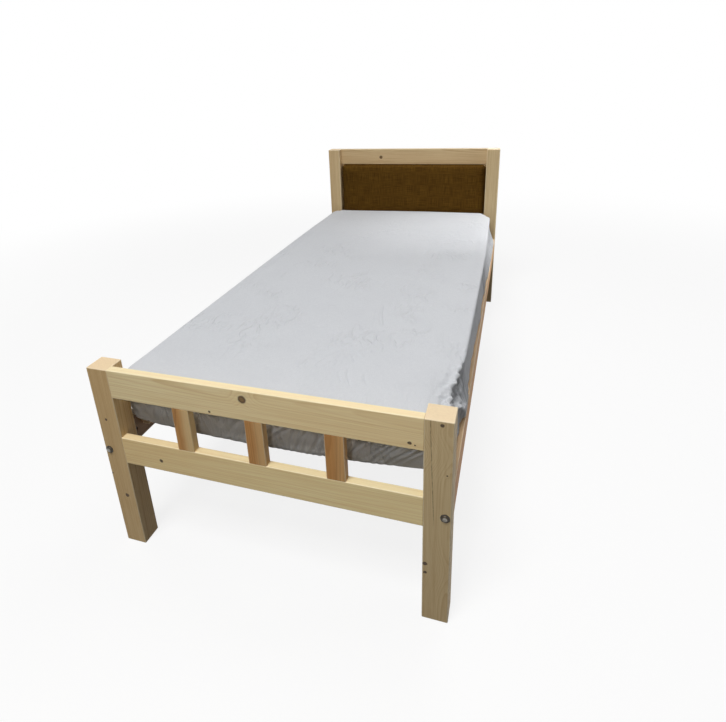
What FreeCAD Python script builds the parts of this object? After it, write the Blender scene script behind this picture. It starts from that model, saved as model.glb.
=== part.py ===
import FreeCAD, Part
import os
import re

import Sketcher
from FreeCAD import Placement, Rotation, Vector

# A single bed in planed pine. Four posts carry two end frames: a low footboard with two rails and
# three uprights, and a headboard with two rails round a padded panel. Two side rails are bolted
# between the end frames. Thirteen slats lie on ledgers inside the side rails and carry a foam
# mattress in a fitted sheet.
#
# +Z is up and +Y runs from the foot to the head. +X is to the right, seen from the foot end.
# The origin is on the floor in the middle of the bed. Lengths are in millimetres.

SIZES = {
    # Outside and timber sizes
    "bed_width": 940,
    "clear_length": 1920,
    "post_width": 64,
    "post_depth": 59,
    "head_post_height": 863,
    "rail_thickness": 23,
    "rail_height": 84,
    "lower_rail_underside": 292,
    "footboard_gap": 125,
    "side_rail_thickness": 28,
    "timber_rounding": 2.5,
    # Tenons of the end rails
    "tenon_thickness": 10,
    "tenon_length": 34,
    "tenon_shoulder": 12,
    "mortise_end_room": 1,
    "joint_play": 0.2,
    # Uprights of the footboard
    "upright_width": 48,
    "upright_spacing": 203,
    "upright_tenon_thickness": 9,
    "upright_tenon_length": 20,
    "upright_tenon_shoulder": 7,
    # Bolted corners
    "bolt_inset": 14,
    "bolt_above_underside": 37,
    "bolt_diameter": 8,
    "bolt_length": 100,
    "bolt_head_diameter": 18,
    "bolt_head_height": 4.5,
    "bolt_socket_width": 5,
    "bolt_socket_depth": 2.6,
    "washer_diameter": 22,
    "washer_thickness": 1.6,
    "bolt_hole_depth": 46,
    "barrel_nut_diameter": 14,
    "barrel_nut_length": 20,
    "barrel_nut_from_end": 35,
    "dowel_diameter": 8,
    "dowel_length": 40,
    "dowel_end_room": 1,
    "dowel_from_bolt": 26,
    # Ledgers and bed slats
    "ledger_width": 22,
    "ledger_height": 30,
    "ledger_end_gap": 66,
    "slat_width": 70,
    "slat_thickness": 18,
    "slat_end_gap": 2,
    "slat_rounding": 3,
    "first_slat_gap": 80,
    # Wood screws
    "screw_diameter": 4,
    "screw_head_diameter": 8,
    "slat_screw_length": 30,
    "ledger_screw_length": 40,
    "batten_screw_length": 40,
    "panel_screw_length": 20,
    "screw_play": 0.3,
    "screw_edge_distance": 50,
    # Padded head panel
    "panel_side_gap": 4,
    "panel_end_gap": 1,
    "batten_thickness": 12,
    "batten_width": 24,
    "board_thickness": 12,
    "pad_thickness": 29,
    "pad_rounding": 10,
    "pad_corner_radius": 12,
    "cover_thickness": 1,
    "cover_turnover": 30,
    # Mattress and fitted sheet
    "mattress_side_inset": 16,
    "mattress_end_gap": 12,
    "mattress_height": 148,
    "mattress_corner_radius": 60,
    "mattress_edge_rounding": 14,
    "ticking_thickness": 1,
    "sheet_thickness": 0.8,
    "sheet_turnunder": 120,
    "elastic_width": 7,
    "soft_gap": 0.3,
    # Room that cuts run past a face
    "overrun": 1,
}

SLAT_COUNT = 13
LEDGER_SCREW_COUNT = 7
BATTEN_SCREW_COUNT = 3

document = FreeCAD.newDocument("single_bed")
sheet = document.addObject("Spreadsheet::Sheet", "sizes")
for row, (name, number) in enumerate(SIZES.items(), start=1):
    sheet.set("A%d" % row, name)
    sheet.set("B%d" % row, str(number))
    sheet.setAlias("B%d" % row, name)
document.recompute()

size = {name: float(sheet.get(name)) for name in SIZES}

nodes = []


# Sums of size names, used by more than one piece
RAIL_SPAN = "(bed_width - 2 * post_width)"
FOOT_FACE = "(-clear_length / 2 - post_depth)"
HEAD_INSIDE = "(clear_length / 2)"
HEAD_FACE = "(clear_length / 2 + post_depth)"
LOWER_RAIL_TOP = "(lower_rail_underside + rail_height)"
FOOT_TOP_UNDERSIDE = "(lower_rail_underside + rail_height + footboard_gap)"
FOOT_POST_HEIGHT = "(lower_rail_underside + rail_height + footboard_gap + rail_height)"
HEAD_TOP_UNDERSIDE = "(head_post_height - rail_height)"
BOLT_LEVEL = "(lower_rail_underside + bolt_above_underside)"


# Helpers that tie a feature to the sheet

def tie(thing, path, text):
    """Bind one property to a sum of size names."""
    thing.setExpression(path, re.sub(r"[a-z]\w*", lambda word: "sizes." + word.group(), text))


def new_body(label, x="0", y="0", z="0"):
    """An empty body whose own corner stands at x, y, z."""
    body = document.addObject("PartDesign::Body", label)
    body.Label = label
    for axis, text in zip("xyz", (x, y, z)):
        tie(body, "Placement.Base." + axis, text)
    nodes.append(body)
    return body


# The plane's role and the sign of its normal along the axis that it is square to
PLANES = {"XY": ("XY_Plane", 1), "XZ": ("XZ_Plane", -1), "YZ": ("YZ_Plane", 1)}


def new_sketch(body, plane, level):
    """An empty sketch square to one axis of the body, at a level along it."""
    role, facing = PLANES[plane]
    sketch = body.newObject("Sketcher::SketchObject", "outline")
    support = [item for item in body.Origin.OriginFeatures if item.Role == role]
    sketch.AttachmentSupport = (support[0], "")
    sketch.MapMode = "FlatFace"
    tie(sketch, "AttachmentOffset.Base.z", level if facing > 0 else "-(%s)" % level)
    return sketch


def hold(sketch, kind, points, text):
    """One distance of a sketch, bound to a sum of size names."""
    number = sketch.addConstraint(Sketcher.Constraint(kind, *points, 1.0))
    tie(sketch, "Constraints[%d]" % number, text)


def draw_rectangle(sketch, left, low, wide, tall):
    """A rectangle given by its lower left corner, its width and its height."""
    first = sketch.GeometryCount
    corners = [Vector(0, 0), Vector(1, 0), Vector(1, 1), Vector(0, 1)]
    for start, end in zip(corners, corners[1:] + corners[:1]):
        sketch.addGeometry(Part.LineSegment(start, end))
    for side in range(4):
        following = first + (side + 1) % 4
        sketch.addConstraint(Sketcher.Constraint("Coincident", first + side, 2, following, 1))
        level_side = "Horizontal" if side % 2 == 0 else "Vertical"
        sketch.addConstraint(Sketcher.Constraint(level_side, first + side))
    hold(sketch, "DistanceX", (first, 1, first, 2), wide)
    hold(sketch, "DistanceY", (first + 1, 1, first + 1, 2), tall)
    hold(sketch, "DistanceX", (-1, 1, first, 1), left)
    hold(sketch, "DistanceY", (-1, 1, first, 1), low)


def draw_circle(sketch, across, up, diameter):
    """A circle given by its centre and diameter."""
    number = sketch.addGeometry(Part.Circle(Vector(1, 1), Vector(0, 0, 1), 1))
    hold(sketch, "Diameter", (number,), diameter)
    hold(sketch, "DistanceX", (-1, 1, number, 3), across)
    hold(sketch, "DistanceY", (-1, 1, number, 3), up)


def add_block(body, plane, level, rectangle, depth):
    """Wood that runs from a level along the plane's own axis by a depth."""
    sketch = new_sketch(body, plane, level)
    draw_rectangle(sketch, *rectangle)
    block = body.newObject("PartDesign::Pad", "block")
    block.Profile = sketch
    block.Reversed = PLANES[plane][1] < 0
    tie(block, "Length", depth)
    body.Tip = block
    document.recompute()
    return block


def cut(body, sketch, plane, depth, towards):
    """A pocket from the sketch along its axis, towards +1 or -1, that has to remove wood."""
    before = body.Tip.Shape.Volume
    pocket = body.newObject("PartDesign::Pocket", "cut")
    pocket.Profile = sketch
    pocket.Reversed = towards == PLANES[plane][1]
    tie(pocket, "Length", depth)
    body.Tip = pocket
    document.recompute()
    if pocket.Shape.Volume >= before:
        raise ValueError(body.Label + " has a cut that removes nothing")
    return pocket


def cut_rectangles(body, plane, level, rectangles, depth, towards):
    """Mortises: rectangular pockets of one depth."""
    sketch = new_sketch(body, plane, level)
    for rectangle in rectangles:
        draw_rectangle(sketch, *rectangle)
    return cut(body, sketch, plane, depth, towards)


def cut_circles(body, plane, level, circles, depth, towards):
    """Bores: round pockets of one depth."""
    sketch = new_sketch(body, plane, level)
    for circle in circles:
        draw_circle(sketch, *circle)
    return cut(body, sketch, plane, depth, towards)


def round_edges(body, base, radius, direction=None):
    """Round every edge of the base, or only those that run along one direction."""
    chosen = []
    for number, edge in enumerate(base.Shape.Edges, start=1):
        run = edge.Vertexes[-1].Point - edge.Vertexes[0].Point
        if direction is None or run.cross(direction).Length < run.Length / 2:
            chosen.append("Edge%d" % number)
    fillet = body.newObject("PartDesign::Fillet", "rounding")
    fillet.Base = (base, chosen)
    tie(fillet, "Radius", radius)
    body.Tip = fillet
    document.recompute()
    return fillet


def mirrored(body, label):
    """The right-hand twin of a left-hand piece."""
    twin = document.addObject("Part::Mirroring", label)
    twin.Label = label
    twin.Source = body
    twin.Normal = Vector(1, 0, 0)
    document.recompute()
    nodes.append(twin)
    return twin


# Posts

def rail_mortise(rail_face, rail_underside):
    """The rectangle of a rail's mortise, in a post's side. rail_face is the rail's front plane."""
    return (
        rail_face + " + (rail_thickness - tenon_thickness) / 2 - joint_play",
        rail_underside + " + tenon_shoulder - joint_play",
        "tenon_thickness + 2 * joint_play",
        "rail_height - 2 * tenon_shoulder + 2 * joint_play",
    )


def corner_bores(across):
    """The bolt and the two dowels of a bolted corner: across, up, and diameter of each."""
    bolt = (across, BOLT_LEVEL, "bolt_diameter + 4 * joint_play")
    dowels = [
        (across, BOLT_LEVEL + sign + "dowel_from_bolt", "dowel_diameter + 2 * joint_play")
        for sign in ("+", "-")
    ]
    return bolt, dowels


def make_post(label, height, y, rail_face, top_underside, inside, into_post):
    """A left-hand post. Rails enter its right side and the side rail meets its inside face."""
    body = new_body(label, x="-bed_width / 2", y=y)
    blank = add_block(body, "XY", "0", ("0", "0", "post_width", "post_depth"), height)
    round_edges(body, blank, "timber_rounding")
    mortises = [rail_mortise(rail_face, "lower_rail_underside"), rail_mortise(rail_face, top_underside)]
    cut_rectangles(body, "YZ", "post_width", mortises, "tenon_length + mortise_end_room", -1)
    bolt, dowels = corner_bores("bolt_inset")
    cut_circles(body, "XZ", "0", [bolt], "post_depth", 1)
    cut_circles(body, "XZ", inside, dowels, "dowel_length / 2 + dowel_end_room", into_post)
    return body


foot_post = make_post(
    "foot_post_left", FOOT_POST_HEIGHT, FOOT_FACE, "0", FOOT_TOP_UNDERSIDE, "post_depth", -1)
mirrored(foot_post, "foot_post_right")

head_post = make_post(
    "head_post_left", "head_post_height", HEAD_INSIDE, "(post_depth - rail_thickness)",
    HEAD_TOP_UNDERSIDE, "0", 1)

# Heights of the batten screws, above the lower head rail
BATTEN_SCREW_SHARES = [(number + 0.5) / BATTEN_SCREW_COUNT for number in range(BATTEN_SCREW_COUNT)]
PANEL_LOW = "(%s + panel_end_gap)" % LOWER_RAIL_TOP
PANEL_TALL = "(%s - %s - 2 * panel_end_gap)" % (HEAD_TOP_UNDERSIDE, LOWER_RAIL_TOP)
cut_circles(
    head_post, "YZ", "post_width",
    [("post_depth - batten_thickness / 2", "%s + %s * %r" % (PANEL_LOW, PANEL_TALL, share),
      "screw_diameter + screw_play") for share in BATTEN_SCREW_SHARES],
    "batten_screw_length - batten_width + overrun", -1)
mirrored(head_post, "head_post_right")


# End rails with a tenon at each end

def make_end_rail(label, y, underside):
    """A rail between two posts, whose tenons are one bar through its middle."""
    body = new_body(label, x="-%s / 2" % RAIL_SPAN, y=y, z=underside)
    board = add_block(body, "YZ", "0", ("0", "0", "rail_thickness", "rail_height"), RAIL_SPAN)
    round_edges(body, board, "timber_rounding", Vector(1, 0, 0))
    section = (
        "(rail_thickness - tenon_thickness) / 2", "tenon_shoulder",
        "tenon_thickness", "rail_height - 2 * tenon_shoulder",
    )
    add_block(body, "YZ", "-tenon_length", section, RAIL_SPAN + " + 2 * tenon_length")
    return body


def upright_mortises():
    """The uprights' mortises in a foot rail, each given in the rail's own frame."""
    middles = ["%s / 2 + %d * upright_spacing" % (RAIL_SPAN, step) for step in (-1, 0, 1)]
    return [
        (middle + " - upright_width / 2 + upright_tenon_shoulder - joint_play",
         "(rail_thickness - upright_tenon_thickness) / 2 - joint_play",
         "upright_width - 2 * upright_tenon_shoulder + 2 * joint_play",
         "upright_tenon_thickness + 2 * joint_play")
        for middle in middles
    ]


UPRIGHT_MORTISE_DEPTH = "upright_tenon_length + mortise_end_room"

foot_top_rail = make_end_rail("foot_top_rail", FOOT_FACE, FOOT_TOP_UNDERSIDE)
cut_rectangles(foot_top_rail, "XY", "0", upright_mortises(), UPRIGHT_MORTISE_DEPTH, 1)

foot_lower_rail = make_end_rail("foot_lower_rail", FOOT_FACE, "lower_rail_underside")
cut_rectangles(foot_lower_rail, "XY", "rail_height", upright_mortises(), UPRIGHT_MORTISE_DEPTH, -1)

make_end_rail("head_top_rail", HEAD_FACE + " - rail_thickness", HEAD_TOP_UNDERSIDE)
make_end_rail("head_lower_rail", HEAD_FACE + " - rail_thickness", "lower_rail_underside")


# Uprights of the footboard

for step, side in ((-1, "left"), (0, "middle"), (1, "right")):
    upright = new_body(
        "foot_upright_" + side, x="%d * upright_spacing - upright_width / 2" % step,
        y=FOOT_FACE, z=LOWER_RAIL_TOP)
    stave = add_block(upright, "XY", "0", ("0", "0", "upright_width", "rail_thickness"), "footboard_gap")
    round_edges(upright, stave, "timber_rounding", Vector(0, 0, 1))
    add_block(
        upright, "XY", "-upright_tenon_length",
        ("upright_tenon_shoulder", "(rail_thickness - upright_tenon_thickness) / 2",
         "upright_width - 2 * upright_tenon_shoulder", "upright_tenon_thickness"),
        "footboard_gap + 2 * upright_tenon_length")


# Side rails, bolted between the posts

LEDGER_LENGTH = "(clear_length - 2 * ledger_end_gap)"
LEDGER_SCREW_SHARES = [number / (LEDGER_SCREW_COUNT - 1) for number in range(LEDGER_SCREW_COUNT)]
LEDGER_SCREW_PLACES = [
    "screw_edge_distance + (%s - 2 * screw_edge_distance) * %r" % (LEDGER_LENGTH, share)
    for share in LEDGER_SCREW_SHARES
]
LEDGER_UNDERSIDE = "(rail_height - slat_thickness - ledger_height)"
# Low in the ledger, clear of the slat screws that come down into it
LEDGER_SCREW_LEVEL = "ledger_height / 3"

side_rail = new_body(
    "side_rail_left", x="-bed_width / 2", y="-clear_length / 2", z="lower_rail_underside")
board = add_block(side_rail, "XZ", "0", ("0", "0", "side_rail_thickness", "rail_height"), "clear_length")
round_edges(side_rail, board, "timber_rounding", Vector(0, 1, 0))
for level, inwards in (("0", 1), ("clear_length", -1)):
    bores = [
        (across, up + " - lower_rail_underside", diameter)
        for across, up, diameter in (corner_bores("bolt_inset")[0], *corner_bores("bolt_inset")[1])
    ]
    cut_circles(side_rail, "XZ", level, bores[:1], "bolt_hole_depth", inwards)
    cut_circles(side_rail, "XZ", level, bores[1:], "dowel_length / 2 + dowel_end_room", inwards)
BARREL_BORE = "barrel_nut_diameter + 2 * joint_play"
cut_circles(
    side_rail, "YZ", "side_rail_thickness",
    [("barrel_nut_from_end", "bolt_above_underside", BARREL_BORE),
     ("clear_length - barrel_nut_from_end", "bolt_above_underside", BARREL_BORE)],
    "side_rail_thickness - bolt_inset + barrel_nut_length / 2", -1)
cut_circles(
    side_rail, "YZ", "side_rail_thickness",
    [("ledger_end_gap + " + place, LEDGER_UNDERSIDE + " + " + LEDGER_SCREW_LEVEL,
      "screw_diameter + screw_play") for place in LEDGER_SCREW_PLACES],
    "ledger_screw_length - ledger_width + overrun", -1)
mirrored(side_rail, "side_rail_right")


# Ledgers that carry the slats

FIRST_SLAT = "(first_slat_gap - ledger_end_gap)"
SLAT_STEP = "((clear_length - 2 * first_slat_gap - slat_width) / %d)" % (SLAT_COUNT - 1)
SLAT_MIDDLES = [
    "%s + slat_width / 2 + %d * %s" % (FIRST_SLAT, number, SLAT_STEP) for number in range(SLAT_COUNT)
]


def countersink(body, plane, level, places, towards):
    """Bores right through the wood, each with a conical seat for a screw head."""
    sketch = new_sketch(body, plane, level)
    for across, up in places:
        draw_circle(sketch, across, up, "screw_diameter + screw_play")
    document.recompute()
    hole = body.newObject("PartDesign::Hole", "screw_bores")
    hole.Profile = sketch
    hole.DepthType = "ThroughAll"
    hole.Threaded = False
    tie(hole, "Diameter", "screw_diameter + screw_play")
    hole.HoleCutType = "Countersink"
    hole.HoleCutCustomValues = True
    hole.HoleCutCountersinkAngle = 90
    tie(hole, "HoleCutDiameter", "screw_head_diameter + screw_play")
    hole.Reversed = towards == PLANES[plane][1]
    body.Tip = hole
    document.recompute()
    return hole


ledger = new_body(
    "slat_ledger_left", x="-bed_width / 2 + side_rail_thickness",
    y="-clear_length / 2 + ledger_end_gap", z="lower_rail_underside + " + LEDGER_UNDERSIDE)
batten = add_block(ledger, "XZ", "0", ("0", "0", "ledger_width", "ledger_height"), LEDGER_LENGTH)
round_edges(ledger, batten, "timber_rounding", Vector(0, 1, 0))
cut_circles(
    ledger, "XY", "ledger_height",
    [("ledger_width / 2", middle, "screw_diameter + screw_play") for middle in SLAT_MIDDLES],
    "slat_screw_length - slat_thickness + overrun", -1)
countersink(
    ledger, "YZ", "ledger_width",
    [(place, LEDGER_SCREW_LEVEL) for place in LEDGER_SCREW_PLACES], -1)
mirrored(ledger, "slat_ledger_right")


# Bed slats

SLAT_LENGTH = "(bed_width - 2 * side_rail_thickness - 2 * slat_end_gap)"

for number in range(SLAT_COUNT):
    slat = new_body(
        "bed_slat_%02d" % (number + 1), x="-%s / 2" % SLAT_LENGTH,
        y="-clear_length / 2 + first_slat_gap + %d * %s" % (number, SLAT_STEP),
        z=LOWER_RAIL_TOP + " - slat_thickness")
    board = add_block(slat, "YZ", "0", ("0", "0", "slat_width", "slat_thickness"), SLAT_LENGTH)
    round_edges(slat, board, "slat_rounding", Vector(1, 0, 0))
    screw_inset = "(ledger_width / 2 - slat_end_gap)"
    countersink(
        slat, "XY", "slat_thickness",
        [(screw_inset, "slat_width / 2"), (SLAT_LENGTH + " - " + screw_inset, "slat_width / 2")], -1)


# Battens and board behind the padded panel

PANEL_WIDE = "(%s - 2 * panel_side_gap)" % RAIL_SPAN
PANEL_SCREW_SHARES = [number / BATTEN_SCREW_COUNT for number in range(1, BATTEN_SCREW_COUNT)]

panel_batten = new_body(
    "head_panel_batten_left", x="-%s / 2" % RAIL_SPAN, y=HEAD_FACE + " - batten_thickness", z=PANEL_LOW)
strip = add_block(panel_batten, "XY", "0", ("0", "0", "batten_width", "batten_thickness"), PANEL_TALL)
round_edges(panel_batten, strip, "timber_rounding / 2", Vector(0, 0, 1))
countersink(
    panel_batten, "YZ", "batten_width",
    [("batten_thickness / 2", "%s * %r" % (PANEL_TALL, share)) for share in BATTEN_SCREW_SHARES], -1)
countersink(
    panel_batten, "XZ", "batten_thickness",
    [("batten_width / 2", "%s * %r" % (PANEL_TALL, share)) for share in PANEL_SCREW_SHARES], -1)
mirrored(panel_batten, "head_panel_batten_right")

panel_board = new_body(
    "head_panel_board", x="-%s / 2 + cover_thickness" % PANEL_WIDE,
    y=HEAD_FACE + " - batten_thickness - cover_thickness - board_thickness",
    z=PANEL_LOW + " + cover_thickness")
add_block(
    panel_board, "XZ", "0",
    ("0", "0", PANEL_WIDE + " - 2 * cover_thickness", PANEL_TALL + " - 2 * cover_thickness"),
    "board_thickness")
corners = panel_board.Tip
round_edges(panel_board, corners, "pad_corner_radius", Vector(0, 1, 0))
batten_middle = "(batten_width / 2 - panel_side_gap - cover_thickness)"
cut_circles(
    panel_board, "XZ", "board_thickness",
    [(across, "%s * %r - cover_thickness" % (PANEL_TALL, share), "screw_diameter + screw_play")
     for across in (batten_middle, "%s - 2 * cover_thickness - %s" % (PANEL_WIDE, batten_middle))
     for share in PANEL_SCREW_SHARES],
    "panel_screw_length - batten_thickness - cover_thickness + overrun", -1)


# Soft pieces: lofts through rounded rectangles, with a crown and drawn-in sides

def add_shape(label, shape, place=None):
    """A node whose shape is made from the sheet's values."""
    piece = document.addObject("Part::Feature", label)
    piece.Label = label
    piece.Shape = shape
    piece.Placement = place or Placement()
    nodes.append(piece)
    return piece


def rounded_rectangle(wide, long, radius, level):
    """A closed outline of four lines and four quarter circles, centred on the vertical axis."""
    edges = []
    half_wide = wide / 2
    half_long = long / 2
    diagonal = radius * (1 - 0.5 ** 0.5)
    corners = [(1, 1), (-1, 1), (-1, -1), (1, -1)]
    ends = []
    for right, far in corners:
        along_x = Vector(right * (half_wide - radius), far * half_long, level)
        along_y = Vector(right * half_wide, far * (half_long - radius), level)
        middle = Vector(right * (half_wide - diagonal), far * (half_long - diagonal), level)
        start, end = (along_y, along_x) if right == far else (along_x, along_y)
        ends.append((start, end))
        edges.append(Part.Arc(start, middle, end).toShape())
    for (_, end), (start, _) in zip(ends, ends[1:] + ends[:1]):
        edges.append(Part.LineSegment(end, start).toShape())
    return Part.Wire(Part.sortEdges(edges)[0])


def soft_loft(wide, long, radius, levels):
    """A soft block from a list of (level, inset from the side) pairs."""
    outlines = [
        rounded_rectangle(wide - 2 * inset, long - 2 * inset, radius, level) for level, inset in levels
    ]
    return Part.makeLoft(outlines, True, True)


# The mattress lies on the slats and reaches over the side rails, clear of the posts at its ends
mattress_width = size["bed_width"] - 2 * size["mattress_side_inset"]
mattress_length = size["clear_length"] - 2 * size["mattress_end_gap"]

# How far up each outline of the mattress lies, and how far in, as a share of its edge rounding
MATTRESS_LEVEL_SHARES = (0, 0.06, 0.3, 0.7, 0.86, 0.94, 0.98, 1)
MATTRESS_INSET_SHARES = (0.5, 0.12, 0, 0, 0.05, 0.28, 0.85, 3.5)


def mattress_layer(growth):
    """The mattress form, grown outwards on every side."""
    base = size["lower_rail_underside"] + size["rail_height"] + 2 * size["soft_gap"]
    low = base + size["sheet_thickness"] - growth
    tall = size["mattress_height"] + 2 * growth
    levels = [
        (low + tall * level, size["mattress_edge_rounding"] * inset)
        for level, inset in zip(MATTRESS_LEVEL_SHARES, MATTRESS_INSET_SHARES)
    ]
    return soft_loft(
        mattress_width + 2 * growth, mattress_length + 2 * growth,
        size["mattress_corner_radius"] + growth, levels)


ticking_inside = -size["ticking_thickness"]
sheet_inside = size["soft_gap"]
sheet_outside = sheet_inside + size["sheet_thickness"]

add_shape("mattress_foam", mattress_layer(ticking_inside - size["soft_gap"]))
add_shape("mattress_ticking", mattress_layer(0).cut(mattress_layer(ticking_inside)))

# The sheet is open underneath, where its hem turns in under the mattress
sheet_low = size["lower_rail_underside"] + size["rail_height"] + size["soft_gap"]
opening_wide = mattress_width - 2 * size["sheet_turnunder"]
opening_long = mattress_length - 2 * size["sheet_turnunder"]


def flat_plate(wide, long, radius, low, tall):
    """An upright plate with rounded corners."""
    return Part.Face(rounded_rectangle(wide, long, radius, low)).extrude(Vector(0, 0, tall))


opening = flat_plate(
    opening_wide, opening_long, size["mattress_corner_radius"],
    sheet_low - size["overrun"], size["sheet_thickness"] + 2 * size["overrun"])
add_shape("fitted_sheet", mattress_layer(sheet_outside).cut(mattress_layer(sheet_inside)).cut(opening))


def elastic_outline(inset):
    """The plate inside the hem, drawn in by an inset."""
    return flat_plate(
        opening_wide - 2 * inset, opening_long - 2 * inset, size["mattress_corner_radius"] - inset,
        sheet_low, size["sheet_thickness"])


elastic_out = size["soft_gap"] / 2
add_shape(
    "sheet_hem_elastic",
    elastic_outline(elastic_out).cut(elastic_outline(elastic_out + size["elastic_width"])))


# Padded head panel: foam on the board, and a cover drawn round both

panel_wide = size["bed_width"] - 2 * size["post_width"] - 2 * size["panel_side_gap"]
panel_low = size["lower_rail_underside"] + size["rail_height"] + size["panel_end_gap"]
panel_high = size["head_post_height"] - size["rail_height"] - size["panel_end_gap"]
panel_back = size["clear_length"] / 2 + size["post_depth"] - size["batten_thickness"]

# How far each outline of the pad stands off the board, and how far in, as a share of its rounding
PAD_LEVEL_SHARES = (0, 0.6, 0.8, 0.92, 0.98, 1)
PAD_INSET_SHARES = (0, 0.04, 0.3, 0.75, 1.6, 4.5)


def pad_levels(base, growth):
    """Outlines of the pad's crown, above the board's front."""
    return [
        (base + size["pad_thickness"] * level + growth * level, size["pad_rounding"] * inset)
        for level, inset in zip(PAD_LEVEL_SHARES, PAD_INSET_SHARES)
    ]


# The pad's own frame lies face up, and is then stood up to face the foot of the bed
stand_up = Rotation(Vector(1, 0, 0), 90)
panel_place = Placement(Vector(0, panel_back, (panel_low + panel_high) / 2), stand_up)
panel_tall = panel_high - panel_low
cover = size["cover_thickness"]
board_front = cover + size["board_thickness"]

pad_wide = panel_wide - 2 * cover
pad_tall = panel_tall - 2 * cover
pad_radius = size["pad_corner_radius"]
add_shape(
    "head_panel_foam", soft_loft(pad_wide, pad_tall, pad_radius, pad_levels(board_front, 0)), panel_place)

cover_outside = soft_loft(
    panel_wide, panel_tall, pad_radius + cover, [(0, 0)] + pad_levels(board_front, cover))
cover_inside = soft_loft(pad_wide, pad_tall, pad_radius, [(cover, 0)] + pad_levels(board_front, 0))
turnover = size["cover_turnover"]
back_window = flat_plate(
    panel_wide - 2 * turnover, panel_tall - 2 * turnover, pad_radius,
    -size["overrun"], cover + 2 * size["overrun"])
panel_cover = cover_outside.cut(cover_inside).cut(back_window)
batten_middle_x = size["bed_width"] / 2 - size["post_width"] - size["batten_width"] / 2
for side in (-1, 1):
    for share in PANEL_SCREW_SHARES:
        pierced = Part.makeCylinder(
            (size["screw_diameter"] + size["screw_play"]) / 2, cover + 2 * size["overrun"],
            Vector(side * batten_middle_x, panel_tall * (share - 0.5), -size["overrun"]))
        panel_cover = panel_cover.cut(pierced)
add_shape("head_panel_cover", panel_cover, panel_place)


# Fasteners: each kind is turned once and set in all its places

def turned(edges):
    """A solid of revolution about the vertical axis, from the edges of one half section."""
    section = Part.Face(Part.Wire(Part.sortEdges(edges)[0]))
    return section.revolve(Vector(0, 0, 0), Vector(0, 0, 1), 360)


def lines_through(points):
    """Straight edges through (radius, height) points."""
    corners = [Vector(radius, 0, height) for radius, height in points]
    return [Part.LineSegment(a, b).toShape() for a, b in zip(corners, corners[1:])]


def wood_screw(length):
    """A countersunk screw with its head's top at the origin, pointing down."""
    head = size["screw_head_diameter"] / 2
    shank = size["screw_diameter"] / 2
    points = [
        (0, 0), (head, 0), (shank, shank - head), (shank, 2 * shank - length), (0, -length), (0, 0),
    ]
    return turned(lines_through(points))


def frame_bolt():
    """A bolt with a low domed head and a hexagon socket, its head's seat at the origin."""
    head = size["bolt_head_diameter"] / 2
    shank = size["bolt_diameter"] / 2
    tall = size["bolt_head_height"]
    dome_middle_shares = (0.62, 0.76)
    dome = Part.Arc(
        Vector(0, 0, tall),
        Vector(head * dome_middle_shares[0], 0, tall * dome_middle_shares[1]),
        Vector(head, 0, 0)).toShape()
    body = lines_through([
        (head, 0), (shank, 0), (shank, shank / 4 - size["bolt_length"]),
        (shank * 3 / 4, -size["bolt_length"]), (0, -size["bolt_length"]), (0, tall),
    ])
    across_corners = size["bolt_socket_width"] / 3 ** 0.5
    corners = [
        Rotation(Vector(0, 0, 1), 60 * number).multVec(Vector(across_corners, 0, tall))
        for number in range(7)
    ]
    socket = Part.Face(Part.makePolygon(corners)).extrude(Vector(0, 0, -size["bolt_socket_depth"]))
    return turned([dome] + body).cut(socket)


def group(label, piece, places):
    """One node that holds a separate copy of a fastener at each (point, direction)."""
    copies = []
    for point, direction in places:
        copy = piece.copy()
        copy.Placement = Placement(Vector(*point), Rotation(Vector(0, 0, -1), Vector(*direction)))
        copies.append(copy)
    add_shape(label, Part.makeCompound(copies))


sides = (-1, 1)
corner_x = size["bed_width"] / 2 - size["bolt_inset"]
end_y = size["clear_length"] / 2 + size["post_depth"]
inner_y = size["clear_length"] / 2
bolt_level = size["lower_rail_underside"] + size["bolt_above_underside"]
washer = size["washer_thickness"]

group("frame_bolts", frame_bolt(), [
    ((side * corner_x, end * (end_y + washer), bolt_level), (0, -end, 0))
    for side in sides for end in sides])

washer_ring = Part.makeCylinder(size["washer_diameter"] / 2, washer).cut(
    Part.makeCylinder(size["bolt_diameter"] / 2 + size["joint_play"], washer))
group("bolt_washers", washer_ring, [
    ((side * corner_x, end * end_y, bolt_level), (0, -end, 0)) for side in sides for end in sides])

# A barrel nut lies across its rail, and its cross bore takes the bolt
half_barrel = size["barrel_nut_length"] / 2
barrel_nut = Part.makeCylinder(
    size["barrel_nut_diameter"] / 2, 2 * half_barrel, Vector(0, 0, -half_barrel)).cut(
    Part.makeCylinder(
        (size["bolt_diameter"] + size["joint_play"]) / 2, size["barrel_nut_diameter"],
        Vector(0, -size["barrel_nut_diameter"] / 2, 0), Vector(0, 1, 0)))
barrel_y = inner_y - size["barrel_nut_from_end"]
group("barrel_nuts", barrel_nut, [
    ((side * corner_x, end * barrel_y, bolt_level), (side, 0, 0)) for side in sides for end in sides])

dowel_radius = size["dowel_diameter"] / 2
half_dowel = size["dowel_length"] / 2
dowel = turned(lines_through([
    (0, -half_dowel), (dowel_radius * 3 / 4, -half_dowel),
    (dowel_radius, dowel_radius / 4 - half_dowel), (dowel_radius, half_dowel - dowel_radius / 4),
    (dowel_radius * 3 / 4, half_dowel), (0, half_dowel), (0, -half_dowel)]))
group("rail_dowels", dowel, [
    ((side * corner_x, end * inner_y, bolt_level + step * size["dowel_from_bolt"]), (0, 1, 0))
    for side in sides for end in sides for step in sides])

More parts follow.
